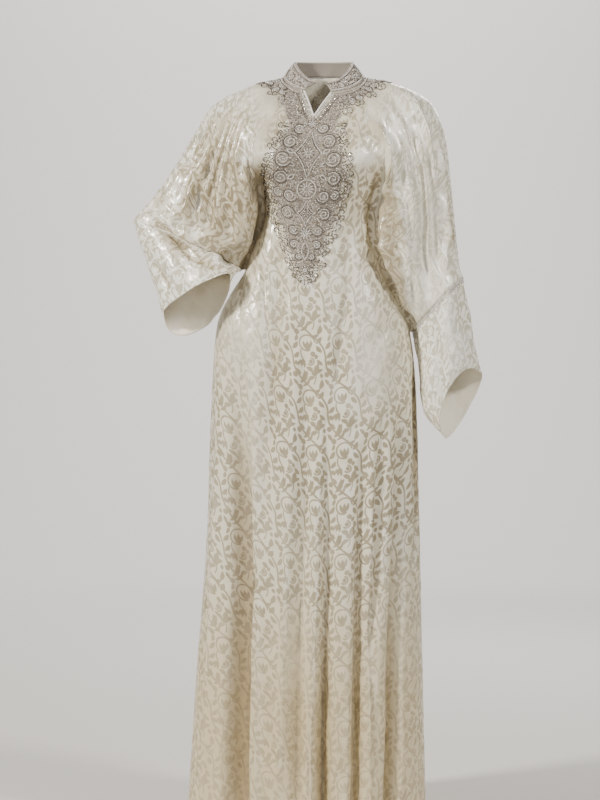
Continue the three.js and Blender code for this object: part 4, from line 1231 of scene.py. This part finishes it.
beadLook = {
    "shade": 0.62,  # the darkest a bead of a kind may be, as a share of its color
    "grain": 0.12,
    "grainScale": 900,
    "grainBump": 0.0001,
    "specular": 0.6,
    "lift": 0.8,  # height of a bead's middle off the cloth, as a share of half its height
    "spread": 0.22,
    "seed": 5,
}
beadCell = 4  # side in millimetres of the cells that near beads are looked up in


class Beadwork:
    # Beads by kind, none closer to another than its size allows
    def __init__(self):
        self.beads = {kind: [] for kind in beadKinds}
        self.cells = {}

    def counts(self):
        return {kind: len(places) for kind, places in self.beads.items()}

    def pearlTree(self):
        return pointTree([point for point, normal in self.beads["pearl"]])

    def crowded(self, point, gap):
        middle = np.floor(point / beadCell).astype(int)
        for i in (-1, 0, 1):
            for j in (-1, 0, 1):
                for k in (-1, 0, 1):
                    cell = (middle[0] + i, middle[1] + j, middle[2] + k)
                    for other, size in self.cells.get(cell, ()):
                        if math.dist(other, point) < (gap + size) / 2:
                            return True
        return False

    def sew(self, place, kind, closeness=0.88):
        if place is None:
            return
        point, normal = place
        gap = beadKinds[kind]["size"] * closeness
        if self.crowded(point, gap):
            return
        self.beads[kind].append((point, normal))
        cell = tuple(np.floor(point / beadCell).astype(int))
        self.cells.setdefault(cell, []).append((tuple(point), gap))

    def sewLine(self, points, kind, lay):
        points = np.array(points, float)
        pitch = beadKinds[kind]["size"] * 1.03
        run = np.concatenate([[0], np.cumsum(np.linalg.norm(np.diff(points, axis=0), axis=1))])
        count = max(1, round(run[-1] / pitch)) if run[-1] > 0 else 0
        for place in np.linspace(0, run[-1], count + 1):
            x = np.interp(place, run, points[:, 0])
            h = np.interp(place, run, points[:, 1])
            self.sew(lay(x, h), kind)

    def sewMotif(self, motif, x, h, turn, lay):
        angle = math.radians(turn)
        for line, kind in motif:
            line = np.array(line, float)
            points = np.stack([
                x + line[:, 0] * math.cos(angle) - line[:, 1] * math.sin(angle),
                h + line[:, 0] * math.sin(angle) + line[:, 1] * math.cos(angle),
            ], axis=-1)
            self.sewLine(points, kind, lay)


# Motifs: each is a list of (line, kind of bead) about its own middle
def rosette(radius, petals):
    lines = [([(0, 0)], "crystal")]
    for k in range(petals):
        angle = 2 * math.pi * k / petals
        tip = (radius * math.cos(angle), radius * math.sin(angle))
        lines.append(([(tip[0] * 0.42, tip[1] * 0.42), tip], "pearl"))
        between = angle + math.pi / petals
        outer = radius * 1.1
        lines.append(([(outer * math.cos(between), outer * math.sin(between))], "smoke"))
    return lines


def circle(radius, kind):
    angle = np.linspace(0, 2 * np.pi, 40)
    return [(radius * np.stack([np.cos(angle), np.sin(angle)], -1), kind)]


def spiral(radius, inner, turns, hand):
    t = np.linspace(0, 1, 60)
    angle = t * turns * 2 * np.pi * hand
    reach = radius + (inner - radius) * t
    return np.stack([reach * np.cos(angle), reach * np.sin(angle)], -1)


def scroll(radius, turns, hand):
    outer = radius + 2.5
    return [
        (spiral(radius, radius * 0.22, turns, hand), "pearl"),
        (spiral(outer, outer * 0.75, turns * 0.5, hand), "smoke"),
        ([(0, 0)], "crystal"),
    ]


def leaf(long, wide):
    t = np.linspace(0, 1, 12)
    side = wide * np.sin(np.pi * t) ** 0.9
    return [
        (np.stack([side, long * t], -1), "pearl"),
        (np.stack([-side, long * t], -1), "pearl"),
        ([(0, long * 0.2), (0, long * 0.85)], "steel"),
    ]


def lozenge(halfWidth, halfHeight):
    t = np.linspace(0, 1, 12)
    bow = 1 - 0.16 * np.sin(np.pi * t)
    side = np.stack([halfWidth * (1 - t) * bow, halfHeight * t * bow], -1)
    lines = []
    for across in (-1, 1):
        for up in (-1, 1):
            edge = side * (across, up)
            lines.append((edge, "pearl"))
            lines.append((edge * (1 - 2.8 / halfWidth), "steel"))
            lines.append((edge * (1 - 5.8 / halfWidth), "silver"))
    return lines


# Sprig of the ragged edge: a bent stem, small leaves and a floret at its end
def sprig(long, bend):
    t = np.linspace(0, 1, 10)
    lines = [(np.stack([bend * t**2, long * t], -1), "smoke")]
    for share, side in ((0.3, -1), (0.42, 1), (0.8, -1), (0.92, 1)):
        x, y = bend * share**2, long * share
        curl = [(x + side * out, y + up) for out, up in ((0, 0), (2.6, 2), (5.2, 2.4), (7, 0.6))]
        lines.append((curl, "smoke"))
        lines.append(([(x + side * 4.6, y - 0.8)], "pearl"))
    top = long + 5.4
    head = circle(4.4, "smoke")[0][0] + (bend, top)
    lines.append((head, "smoke"))
    lines.append(([(bend, top)], "crystal"))
    return lines


def surfaceTree(piece):
    mesh = piece.data
    corners = [tuple(polygon.vertices) for polygon in mesh.polygons]
    return BVHTree.FromPolygons([vertex.co for vertex in mesh.vertices], corners)


frontTree = surfaceTree(pieces["front"])
backTree = surfaceTree(pieces["back"])

# The front laid flat: lines down it at even steps across, with the length along each. The
# height in the flat is the same as z at the level of the bust.
flat = {"level": -150, "reach": 400, "from": -152, "to": 152, "step": 4,
        "turns": (-70, 86, 0.5)}
flatLines = {}
for x in range(flat["from"], flat["to"] + 1, flat["step"]):
    found = []
    for angle in np.radians(np.arange(*flat["turns"])):
        outward = Vector((0, -math.cos(angle), math.sin(angle)))
        start = Vector((x, 0, flat["level"])) * mm + outward * flat["reach"] * mm
        hit, normal = frontTree.ray_cast(start, -outward)[:2]
        if hit is not None:
            found.append((angle, *(hit / mm), *normal))
    found = np.array(found)
    run = arcs(found[:, 1:4], 0)
    run += flat["level"] - np.interp(0, found[:, 0], run)
    flatLines[x] = (run, found[:, 1:4], found[:, 4:7])


def layFlat(x, h):
    first = math.floor(x / flat["step"]) * flat["step"]
    first = max(flat["from"], min(first, flat["to"] - flat["step"]))
    share = (x - first) / flat["step"]
    point, normal = np.zeros(3), np.zeros(3)
    for key, weight in ((first, 1 - share), (first + flat["step"], share)):
        run, points, normals = flatLines[key]
        if not run[0] < h < run[-1]:
            return None
        point += weight * np.array([np.interp(h, run, points[:, k]) for k in range(3)])
        normal += weight * np.array([np.interp(h, run, normals[:, k]) for k in range(3)])
    return point, normal / np.linalg.norm(normal)


def inFlat(point):
    x = round(point[0] / flat["step"]) * flat["step"]
    run, points = flatLines[x][:2]
    nearest = np.argmin(np.linalg.norm(points - point, axis=1))
    return np.array([point[0], run[nearest]])


beadwork = Beadwork()
filling = []
yoke = {
    "middle": [(-430, -41), (-300, -39), (-202, -36), (-150, -33), (-79, -23)],
    "edge": [(-432, 2), (-398, 12), (-372, 30), (-326, 46), (-306, 58), (-250, 72),
             (-202, 80), (-154, 70), (-120, 54), (-84, 54), (-20, 78)],
    "notchRows": [(2.6, "silver"), (5.0, "pearl"), (7.4, "silver"), (15, "steel")],
    "notchRosettes": {"from": 8, "pitch": 9, "out": 11.2},
    "inset": 7,  # how far inside the edge the sprigs start and the filling ends
    "ragged": 3,
    "sprigPitch": 13,
    "fillPitch": 2.9,
    "closeness": 1.12,
    "jitter": 0.8,
}
# s is the distance from the middle line; motifs off it are sewn on both sides
yokeMotifs = [
    {"s": 0, "h": -96, "turn": 0, "motif": rosette(8, 8)},
    {"s": 0, "h": -160, "turn": 0, "motif": lozenge(27, 50)},
    {"s": 0, "h": -160, "turn": 0, "motif": rosette(10, 10)},
    {"s": 0, "h": -136, "turn": 0, "motif": rosette(4.5, 6)},
    {"s": 0, "h": -184, "turn": 0, "motif": rosette(4.5, 6)},
    {"s": 0, "h": -232, "turn": 0, "motif": rosette(13, 12)},
    {"s": 0, "h": -232, "turn": 0, "motif": circle(18.5, "pearl")},
    {"s": 0, "h": -280, "turn": 0, "motif": lozenge(16, 24)},
    {"s": 0, "h": -280, "turn": 0, "motif": rosette(4.5, 6)},
    {"s": 0, "h": -320, "turn": 0, "motif": rosette(10, 10)},
    {"s": 0, "h": -372, "turn": 0, "motif": leaf(34, 7)},
    {"s": 0, "h": -394, "turn": 0, "motif": rosette(7, 8)},
    {"s": 0, "h": -428, "turn": 0, "motif": leaf(22, 4.5)},
    {"s": 24, "h": -106, "turn": 200, "motif": scroll(10, 1.6, 1)},
    {"s": 38, "h": -136, "turn": 150, "motif": scroll(14, 1.7, -1)},
    {"s": 50, "h": -172, "turn": 210, "motif": scroll(15, 1.7, 1)},
    {"s": 52, "h": -212, "turn": 130, "motif": scroll(14, 1.6, -1)},
    {"s": 33, "h": -246, "turn": 200, "motif": scroll(12, 1.6, 1)},
    {"s": 55, "h": -246, "turn": 90, "motif": scroll(9, 1.4, -1)},
    {"s": 36, "h": -282, "turn": 160, "motif": scroll(12, 1.6, -1)},
    {"s": 24, "h": -314, "turn": 210, "motif": scroll(9, 1.4, 1)},
    {"s": 22, "h": -343, "turn": 140, "motif": scroll(8, 1.4, -1)},
    {"s": 13, "h": -366, "turn": 200, "motif": scroll(6, 1.2, 1)},
    {"s": 30, "h": -160, "turn": -62, "motif": leaf(14, 3.6)},
    {"s": 26, "h": -204, "turn": -128, "motif": leaf(15, 3.6)},
    {"s": 27, "h": -186, "turn": -60, "motif": leaf(13, 3.2)},
    {"s": 46, "h": -116, "turn": -50, "motif": leaf(14, 3.6)},
]
middleHeights, middles = np.array(yoke["middle"], float).T
edgeHeights, edges = np.array(yoke["edge"], float).T


def laySide(side):
    return lambda s, h: layFlat(np.interp(h, middleHeights, middles) + side * s, h)


# Both edges of the notch in the flat: the upper end, the length, and the ways up and off it
notchTip = inFlat(notch["tip"])
notchEdges = []
for side, turn in ((1, notch["leftTurn"]), (-1, notch["rightTurn"])):
    corner = inFlat(neckPoints([turn])[0])
    run = np.linalg.norm(corner - notchTip)
    up = (corner - notchTip) / run
    notchEdges.append((corner, run, up, np.array([up[1], -up[0]]) * side))
for corner, run, up, away in notchEdges:
    for offset, kind in yoke["notchRows"]:
        beadwork.sewLine([notchTip + away * offset, corner + away * offset], kind, layFlat)
    rosettes = yoke["notchRosettes"]
    for place in np.arange(rosettes["from"], run, rosettes["pitch"]):
        middle = notchTip + up * place + away * rosettes["out"]
        beadwork.sewMotif(rosette(2.7, 5), *middle, 0, layFlat)
for item in yokeMotifs:
    for side in (1,) if item["s"] == 0 else (1, -1):
        beadwork.sewMotif(item["motif"], item["s"], item["h"], item["turn"], laySide(side))
bend = 2.5
for h in np.arange(-414, -92, yoke["sprigPitch"]):
    width = np.interp(h, edgeHeights, edges)
    slope = np.interp(h + 6, edgeHeights, edges) - np.interp(h - 6, edgeHeights, edges)
    outward = math.degrees(math.atan2(-slope, 12)) - 90
    bend = -bend
    for side in (1, -1):
        lean = outward * 0.8 + random.uniform(-14, 14)
        long = random.uniform(9, 14)
        beadwork.sewMotif(sprig(long, bend), width - yoke["inset"], h, lean, laySide(side))


# Filling beads are dark beside the pearl lines, and in small light and dark patches elsewhere
fillOutline = 4.4
fillPatch = 4.6
fillShares = {
    "light": {"pearl": 0.56, "silver": 0.32, "crystal": 0.09, "gold": 0.03},
    "dark": {"steel": 0.62, "silver": 0.24, "smoke": 0.11, "gold": 0.03},
}


def pointTree(points):
    tree = KDTree(len(points))
    for k, point in enumerate(points):
        tree.insert(point, k)
    tree.balance()
    return tree


def fillKind(point, lines):
    beside = lines.find(point)[2] < fillOutline
    dark = beside or noise.noise(Vector(point / fillPatch)) < 0
    shares = fillShares["dark" if dark else "light"]
    return random.choices(list(shares), list(shares.values()))[0]


# How far a place beside the notch is from its nearer edge; less than nothing inside it
def besideNotch(x, h):
    place = np.array([x, h]) - notchTip
    return max(float(place @ away) for corner, run, up, away in notchEdges)


lines = beadwork.pearlTree()
for row, h in enumerate(np.arange(-420, -20, yoke["fillPitch"])):
    width = np.interp(h, edgeHeights, edges) - yoke["inset"] + yoke["ragged"] * math.sin(h / 7)
    for s in np.arange(-width, width, yoke["fillPitch"]):
        at = s + (row % 2) * yoke["fillPitch"] / 2 + random.uniform(-1, 1) * yoke["jitter"]
        x = np.interp(h, middleHeights, middles) + at
        if h > notchTip[1] - 4 and besideNotch(x, h) < 9:
            continue
        place = layFlat(x, h + random.uniform(-1, 1) * yoke["jitter"])
        if place is not None:
            beadwork.sew(place, fillKind(place[0], lines), yoke["closeness"])
            filling.append(place[0])
print("yoke beaded", beadwork.counts())


# Round the neck: how far out from the collar seam the beads reach at each turn, then sprigs
shoulders = {
    "reach": [(-180, 15), (-110, 18), (-88, 48), (-70, 40), (-50, 30), (-24, 26),
              (8, 26), (40, 30), (65, 38), (88, 48), (110, 18), (180, 15)],
    "rows": [(2.4, "silver"), (4.8, "pearl"), (7.2, "steel")],
    "drop": 300,
    "pitch": 2.9,
    "closeness": 1.12,
}
reachTurns, reaches = np.array(shoulders["reach"], float).T


# a is the turn round the neck in degrees, b the distance out from the collar seam
def layShoulder(a, b):
    foot = neckPoints([a])[0]
    angle = math.radians(a)
    outward = np.array([math.sin(angle), -math.cos(angle), 0])
    start = foot + outward * b
    best = None
    for tree in (frontTree, backTree):
        origin = Vector((start[0], start[1], shoulders["drop"])) * mm
        hit, normal = tree.ray_cast(origin, Vector((0, 0, -1)))[:2]
        if hit is not None and (best is None or hit.z > best[0].z):
            best = (hit, normal)
    if best is None:
        return None
    point = np.array(best[0]) / mm
    if np.linalg.norm(point - foot) > b * 2.2 + 6:
        return None
    return point, np.array(best[1])


def layRound(middleTurn):
    # around a motif's own middle, millimetres across become degrees of turn
    reachOut = neckRing["halfWidth"] * 0.85

    def lay(a, b):
        scale = math.degrees(1 / (reachOut + max(b, 0)))
        return layShoulder(middleTurn + a * scale, b)
    return lay


def clearOfNotch(a):
    return a > notch["leftTurn"] or a < notch["rightTurn"]


for a in np.arange(-180, 180, 1.2):
    if clearOfNotch(a):
        for b, kind in shoulders["rows"]:
            beadwork.sew(layShoulder(a, b), kind)
for k, a in enumerate(np.arange(-172, 180, 12)):
    reach = np.interp(a, reachTurns, reaches)
    if not clearOfNotch(a) or reach < 14:
        continue
    lay = layRound(a)
    beadwork.sewMotif(rosette(4.2, 7), 0, 12.5, 0, lay)
    if reach > 24:
        hand = 1 if k % 2 else -1
        beadwork.sewMotif(scroll(min(8, reach * 0.2), 1.5, hand), hand * 3, reach * 0.72, 90, lay)
for a in np.arange(-176, 180, 7.5):
    reach = np.interp(a, reachTurns, reaches)
    if clearOfNotch(a):
        lean = random.uniform(-16, 16)
        long = random.uniform(5, 9)
        beadwork.sewMotif(sprig(long, bend), 0, reach - 8, lean, layRound(a))
        bend = -bend
lines = beadwork.pearlTree()
for a in np.arange(-180, 180, 1.7):
    if not clearOfNotch(a):
        continue
    for b in np.arange(3, np.interp(a, reachTurns, reaches) - 5, shoulders["pitch"]):
        place = layShoulder(a + random.uniform(-0.6, 0.6), b + random.uniform(-0.8, 0.8))
        if place is not None:
            beadwork.sew(place, fillKind(place[0], lines), shoulders["closeness"])
            filling.append(place[0])
print("shoulders beaded", beadwork.counts())

beadStages = [beadwork.counts()]

# Stand collar, beaded all over
collar = {
    "top": {"halfWidth": 57, "front": 45, "back": 47, "sideZ": 39, "backRise": 6,
            "frontDrop": 50, "dip": 1.5},
    "leftTurn": 4, "rightTurn": -14, "bulge": 1.5, "foot": 0.02,
    "wall": 2.2, "columns": 150, "levels": 12,
    "rowsFromFoot": [(1.5, "silver"), (4.0, "pearl")],
    "rowsFromTop": [(1.4, "silver"), (3.8, "pearl"), (6.2, "steel")],
    "motifPitch": 24, "fillPitch": 2.8, "closeness": 1.05,
}
collarShares = np.linspace(0, 1, collar["columns"] + 1)
collarLevels = np.linspace(0, 1, collar["levels"] + 1)
feet = neckPoints(blend(notch["leftTurn"], 360 + notch["rightTurn"], collarShares))
angle = np.radians(blend(collar["leftTurn"], 360 + collar["rightTurn"], collarShares))
forward = np.maximum(np.cos(angle), 0)
behind = np.maximum(-np.cos(angle), 0)
top = collar["top"]
tops = np.stack([
    neckRing["x"] + top["halfWidth"] * np.sin(angle),
    -top["front"] * forward + top["back"] * behind,
    top["sideZ"] - top["frontDrop"] * forward ** top["dip"] + top["backRise"] * behind,
], axis=-1)
feet = blend(feet, tops, collar["foot"])
collarGrid = blend(feet[None], tops[None], collarLevels[:, None, None])
collarGrid[..., 2] += (np.sin(collarLevels * np.pi) * collar["bulge"])[:, None]
numbers = np.arange(collarGrid.shape[0] * collarGrid.shape[1]).reshape(collarGrid.shape[:2])
collarRun = arcs(collarGrid[[len(collarLevels) // 2]], 1)[0]
collarHeight = arcs(collarGrid[:, [0, collar["columns"] // 2]], 0)[-1].max()
pattern = np.stack(np.meshgrid(collarRun, collarLevels * collarHeight), -1).reshape(-1, 2)
pieces["collarBand"] = clothObject("collarBand", collarGrid.reshape(-1, 3),
                                   gridFaces(numbers.tolist(), True), pattern,
                                   collar["wall"], bandSilk, bandSilk)
plainMesh(pieces["collarBand"])
collarNormals = gridNormals(collarGrid)
collarNormals *= np.sign((collarNormals[..., :2] * collarGrid[..., :2]).sum())


# a runs round the collar and b up it, both in millimetres
def layCollar(a, b):
    column = np.interp(a, collarRun, np.arange(len(collarRun)))
    row = b / collarHeight * collar["levels"]
    if not (0 < a < collarRun[-1] and 0 <= row <= collar["levels"]):
        return None
    c, r = min(int(column), len(collarRun) - 2), min(int(row), collar["levels"] - 1)
    u, v = column - c, row - r
    place = []
    for grid in (collarGrid, collarNormals):
        upper = blend(grid[r, c], grid[r, c + 1], u)
        lower = blend(grid[r + 1, c], grid[r + 1, c + 1], u)
        place.append(blend(upper, lower, v))
    return place[0], place[1] / np.linalg.norm(place[1])


length = collarRun[-1]
collarRows = collar["rowsFromFoot"] + [(collarHeight - b, kind)
                                       for b, kind in collar["rowsFromTop"]]
for b, kind in collarRows:
    beadwork.sewLine([(1, b), (length - 1, b)], kind, layCollar)
for a in (1.5, 4.2, length - 4.2, length - 1.5):
    beadwork.sewLine([(a, 2), (a, collarHeight - 2)], "silver", layCollar)
count = round(length / collar["motifPitch"])
for k in range(count):
    a = (k + 0.5) * length / count
    beadwork.sewMotif(rosette(6.5, 8), a, collarHeight * 0.5, 0, layCollar)
    hand = 1 if k % 2 else -1
    side = a + length / count / 2
    beadwork.sewMotif(scroll(5.5, 1.3, hand), side, collarHeight * (0.5 + hand * 0.14), 90,
                      layCollar)
lines = beadwork.pearlTree()
for row, b in enumerate(np.arange(1, collarHeight, collar["fillPitch"])):
    for a in np.arange(1, length, collar["fillPitch"]):
        offset = (row % 2) * collar["fillPitch"] / 2
        place = layCollar(a + offset + random.uniform(-0.5, 0.5), b)
        if place is not None:
            beadwork.sew(place, fillKind(place[0], lines), collar["closeness"])
print("collar beaded", beadwork.counts())
beadStages.append(beadwork.counts())


# Normals of a cuff that point out of it, judged on a row below its seam
def cuffNormals(grid):
    normals = gridNormals(grid)
    return normals * np.sign((normals[10] * (grid[10] - grid[10].mean(axis=0))).sum())


# Bead trim round the left elbow seam, on the cuff
elbowTrim = {"rows": [(1.4, "silver", 2.4), (4.0, "pearl", 2.6), (6.6, "silver", 2.4)],
             "crystalEvery": 9, "crystalRow": 9.7}
trimGrid = cuffGrids["left"]
trimNormals = cuffNormals(trimGrid)


def layCuff(grid, normals, around, down):
    # around is in columns, down in millimetres from the first row
    c = int(around) % (grid.shape[1] - 1)
    u = around - int(around)
    column = blend(grid[:, c], grid[:, c + 1], u)
    run = arcs(column, 0)
    row = np.interp(down, run, np.arange(len(run)))
    r = min(int(row), len(run) - 2)
    normal = blend(normals[r, c], normals[r, c + 1], u)
    return blend(column[r], column[r + 1], row - r), normal / np.linalg.norm(normal)


ringRun = arcs(trimGrid[[2]], 1)[0]
for down, kind, pitch in elbowTrim["rows"]:
    for place in np.arange(0, ringRun[-1] - pitch * 0.6, pitch):
        around = np.interp(place, ringRun, np.arange(len(ringRun)))
        beadwork.sew(layCuff(trimGrid, trimNormals, around, down), kind)
for place in np.arange(0, ringRun[-1] - 4, elbowTrim["crystalEvery"]):
    around = np.interp(place, ringRun, np.arange(len(ringRun)))
    beadwork.sew(layCuff(trimGrid, trimNormals, around, elbowTrim["crystalRow"]), "crystal")
beadStages.append(beadwork.counts())

# Bead trim along the back of the right cuff's opening, near its inner turn
hemTrim = {"turns": (0.625, 0.083), "steps": 60,
           "rows": [(0, "silver"), (2.5, "silver"), (5.0, "crystal"), (8.0, "silver")]}
hemGrid = cuffGrids["right"]
hemNormals = cuffNormals(hemGrid)
hemColumns = hemGrid.shape[1] - 1
hemSpan = [hemColumns - turn * hemColumns / 2 for turn in hemTrim["turns"]]
for up, kind in hemTrim["rows"]:
    line = []
    for around in np.linspace(*hemSpan, hemTrim["steps"]):
        long = arcs(hemGrid[:, int(around)], 0)[-1]
        line.append(layCuff(hemGrid, hemNormals, around, long - up))
    run = arcs(np.array([point for point, normal in line]), 0)
    for place in np.arange(0, run[-1], beadKinds[kind]["size"]):
        k = np.interp(place, run, np.arange(len(run)))
        i = min(int(k), len(line) - 2)
        point = blend(line[i][0], line[i + 1][0], k - i)
        normal = line[i][1]
        if up == 0:  # the first row sits on the rim and looks down from it
            column = hemGrid[:, int(blend(*hemSpan, k / (len(line) - 1)))]
            normal = (column[-1] - column[-4]) / np.linalg.norm(column[-1] - column[-4])
        beadwork.sew((point, normal), kind)
print("trims beaded")


# One mesh of points for each kind of bead; Geometry Nodes set a bead on each point
def beadFinish(kind, look):
    finish = Finish(kind + "Bead")
    dark = tuple(c * beadLook["shade"] for c in look["color"][:3]) + (1,)
    finish.feed("Base Color", finish.mixColor(finish.attribute("tint"), dark, look["color"]))
    finish.feed("Metallic", look["metal"])
    place = finish.position()
    grain = finish.add("ShaderNodeTexNoise", None, {
        "Vector": place, "Scale": beadLook["grainScale"],
    })
    finish.feed("Roughness", grain * beadLook["grain"] + look["roughness"])
    height = grain * beadLook["grainBump"]
    bump = finish.add("ShaderNodeBump", None, {"Height": height, "Distance": 1.0})
    finish.feed("Normal", bump)
    finish.feed("Specular IOR Level", beadLook["specular"])
    return finish.material


def beadTree(name, isRound):
    tree = bpy.data.node_groups.new(name, "GeometryNodeTree")
    tree.interface.new_socket("Points", in_out="INPUT", socket_type="NodeSocketGeometry")
    inputs = {}
    for label, kind in (("Bead Size", "Float"), ("Flatness", "Float"), ("Spread", "Float"),
                        ("Seed", "Int"), ("Finish", "Material")):
        inputs[label] = tree.interface.new_socket(label, in_out="INPUT",
                                                  socket_type="NodeSocket" + kind)
    tree.interface.new_socket("Beads", in_out="OUTPUT", socket_type="NodeSocketGeometry")

    def node(kind, settings=None, links=None):
        made = tree.nodes.new(kind)
        for key, setting in (settings or {}).items():
            setattr(made, key, setting)
        for key, value in (links or {}).items():
            if isinstance(value, bpy.types.NodeSocket):
                tree.links.new(value, made.inputs[key])
            else:
                made.inputs[key].default_value = value
        return made.outputs

    given = node("NodeGroupInput")
    half = node("ShaderNodeMath", {"operation": "MULTIPLY"}, {0: given["Bead Size"], 1: 0.5})
    if isRound:
        ball = node("GeometryNodeMeshUVSphere", None,
                    {"Segments": 7, "Rings": 5, "Radius": half[0]})
    else:
        ball = node("GeometryNodeMeshIcoSphere", None, {"Subdivisions": 1, "Radius": half[0]})
    shade = node("GeometryNodeSetShadeSmooth", None,
                 {"Geometry": ball[0], "Shade Smooth": isRound})
    squash = node("ShaderNodeCombineXYZ", None, {"X": 1.0, "Y": 1.0, "Z": given["Flatness"]})
    shaped = node("GeometryNodeTransform", None, {"Geometry": shade[0], "Scale": squash[0]})
    facing = node("GeometryNodeInputNamedAttribute", {"data_type": "FLOAT_VECTOR"},
                  {"Name": "facing"})
    turned = node("FunctionNodeAlignRotationToVector", {"axis": "Z"}, {"Vector": facing[0]})
    low = node("ShaderNodeMath", {"operation": "SUBTRACT"}, {0: 1, 1: given["Spread"]})
    sizes = node("FunctionNodeRandomValue", {"data_type": "FLOAT"},
                 {2: low[0], 3: 1, "Seed": given["Seed"]})
    beads = node("GeometryNodeInstanceOnPoints", None,
                 {"Points": given["Points"], "Instance": shaped[0], "Rotation": turned[0],
                  "Scale": sizes[1]})
    shades = node("FunctionNodeRandomValue", {"data_type": "FLOAT"}, {"Seed": given["Seed"]})
    kept = node("GeometryNodeStoreNamedAttribute", {"data_type": "FLOAT", "domain": "INSTANCE"},
                {"Geometry": beads[0], "Name": "tint", "Value": shades[1]})
    real = node("GeometryNodeRealizeInstances", None, {"Geometry": kept[0]})
    finished = node("GeometryNodeSetMaterial", None,
                    {"Geometry": real[0], "Material": given["Finish"]})
    node("NodeGroupOutput", None, {0: finished[0]})
    return tree, {label: socket.identifier for label, socket in inputs.items()}


beadTrees = {True: beadTree("round beads", True), False: beadTree("cut beads", False)}


def beadPiece(name, kind, places):
    look = beadKinds[kind]
    lift = look["size"] * look["flatness"] / 2 * beadLook["lift"]
    points = [tuple((point + normal * lift) * mm) for point, normal in places]
    mesh = bpy.data.meshes.new(name)
    mesh.from_pydata(points, [], [])
    facing = mesh.attributes.new("facing", "FLOAT_VECTOR", "POINT")
    facing.data.foreach_set("vector", np.array([normal for point, normal in places]).ravel())
    piece = newObject(name, mesh)
    tree, keys = beadTrees[look["round"]]
    strung = piece.modifiers.new("beads", "NODES")
    strung.node_group = tree
    strung[keys["Bead Size"]] = look["size"] * mm
    strung[keys["Flatness"]] = look["flatness"]
    strung[keys["Spread"]] = beadLook["spread"]
    strung[keys["Seed"]] = beadLook["seed"]
    strung[keys["Finish"]] = beadFinishes[kind]
    plainMesh(piece)
    print(name, len(places), "beads", len(piece.data.polygons), "faces")
    return piece


beadFinishes = {kind: beadFinish(kind, look) for kind, look in beadKinds.items()}
groups = {"yoke": {}, "collar": {}, "elbow": {}, "hem": {}}
for kind, places in beadwork.beads.items():
    marks = [stage[kind] for stage in beadStages] + [len(places)]
    for group, start, end in zip(groups, [0] + marks[:-1], marks):
        groups[group][kind] = places[start:end]
beadNodes = {"yoke": "bead_yoke", "collar": "collar", "elbow": "left_cuff_trim",
             "hem": "right_hem_trim"}
beadPieces = {}
for group, kinds in groups.items():
    for kind, places in kinds.items():
        if places:
            name = group + kind.capitalize() + "Beads"
            beadPieces[name] = (beadPiece(name, kind, places), group)
print("beads sewn on")

# Painted shade: cloth between the filling beads is painted darker, with no vine: out to this far
# from a bead, and then fading over this far, in millimetres
beadShade = {"full": 1.8, "fade": 2}
nearBeads = pointTree(filling)
for layer in ("front", "back"):
    mesh = pieces[layer].data
    gaps = np.array([nearBeads.find(vertex.co / mm)[2] for vertex in mesh.vertices])
    giveAttribute(mesh, "beaded", 1 - smooth((gaps - beadShade["full"]) / beadShade["fade"]))

# White piping down both edges of the notch
piping = {"radius": 1.6, "out": 1.6, "points": 40, "towards": (-16, -70, -45)}
sides = []
for side in ("right", "left"):
    shares = np.linspace(0, notch["share"], piping["points"])
    edge = neckLine("front", side, shares)
    sides.append(edge[::-1] if side == "right" else edge[1:])
edge = np.concatenate(sides)
inward = np.array(piping["towards"]) - edge
inward /= np.linalg.norm(inward, axis=1)[:, None]
cordPath = edge + inward * piping["out"]
cord = bpy.data.curves.new("neckPiping", "CURVE")
cord.dimensions = "3D"
cord.bevel_depth = piping["radius"] * mm
cord.bevel_resolution = 3
cord.use_fill_caps = True
line = cord.splines.new("POLY")
line.points.add(len(cordPath) - 1)
for knot, point in zip(line.points, cordPath):
    knot.co = (*(point * mm), 1)
cordHolder = newObject("pipingPath", cord)
cordMesh = finishedMesh(cordHolder)
bpy.data.objects.remove(cordHolder)
cordMesh.materials.clear()
cordMesh.materials.append(pipingSilk)
pieces["neckPiping"] = newObject("neckPiping", cordMesh)
print("piping sewn on")

# Pale floor that bends up into a wall behind
floorLook = {"z": -1.50, "half": 12, "front": -12, "wallY": 10, "wallTop": 9, "bend": 3,
             "bendSteps": 12}
profile = [(floorLook["front"], floorLook["z"])]
for k in range(floorLook["bendSteps"] + 1):
    angle = math.radians(k * 90 / floorLook["bendSteps"])
    y = floorLook["wallY"] - floorLook["bend"] * (1 - math.sin(angle))
    profile.append((y, floorLook["z"] + floorLook["bend"] * (1 - math.cos(angle))))
profile.append((floorLook["wallY"], floorLook["wallTop"]))
floorMesh = bpy.data.meshes.new("floor")
floorVertices = [(x, y, z) for y, z in profile for x in (-floorLook["half"], floorLook["half"])]
floorFaces = [(2 * k, 2 * k + 1, 2 * k + 3, 2 * k + 2) for k in range(len(profile) - 1)]
floorMesh.from_pydata(floorVertices, [], floorFaces)
floorMesh.polygons.foreach_set("use_smooth", [True] * len(floorFaces))
floor = newObject("floor", floorMesh)
paper = Finish("paleFloor")
grain = paper.add("ShaderNodeTexNoise", None, {
    "Vector": paper.position(), "Scale": 180,
})
paper.feed("Base Color", paper.mixColor(grain, (0.66, 0.64, 0.61, 1), (0.70, 0.68, 0.65, 1)))
paper.feed("Roughness", 0.85)
floorMesh.materials.append(paper.material)

# What each piece stands for; the parts it stands for are hidden
nodesOf = {"front": "front", "back": "back", "rightCuff": "right_cuff",
           "leftCuff": "left_cuff", "collarBand": "collar", "neckPiping": "neck_piping"}
for name, node in nodesOf.items():
    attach(pieces[name], "root")
    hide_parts(node)
for name, (piece, group) in beadPieces.items():
    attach(piece, "root")
    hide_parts(beadNodes[group])
    trim = group in ("elbow", "hem")
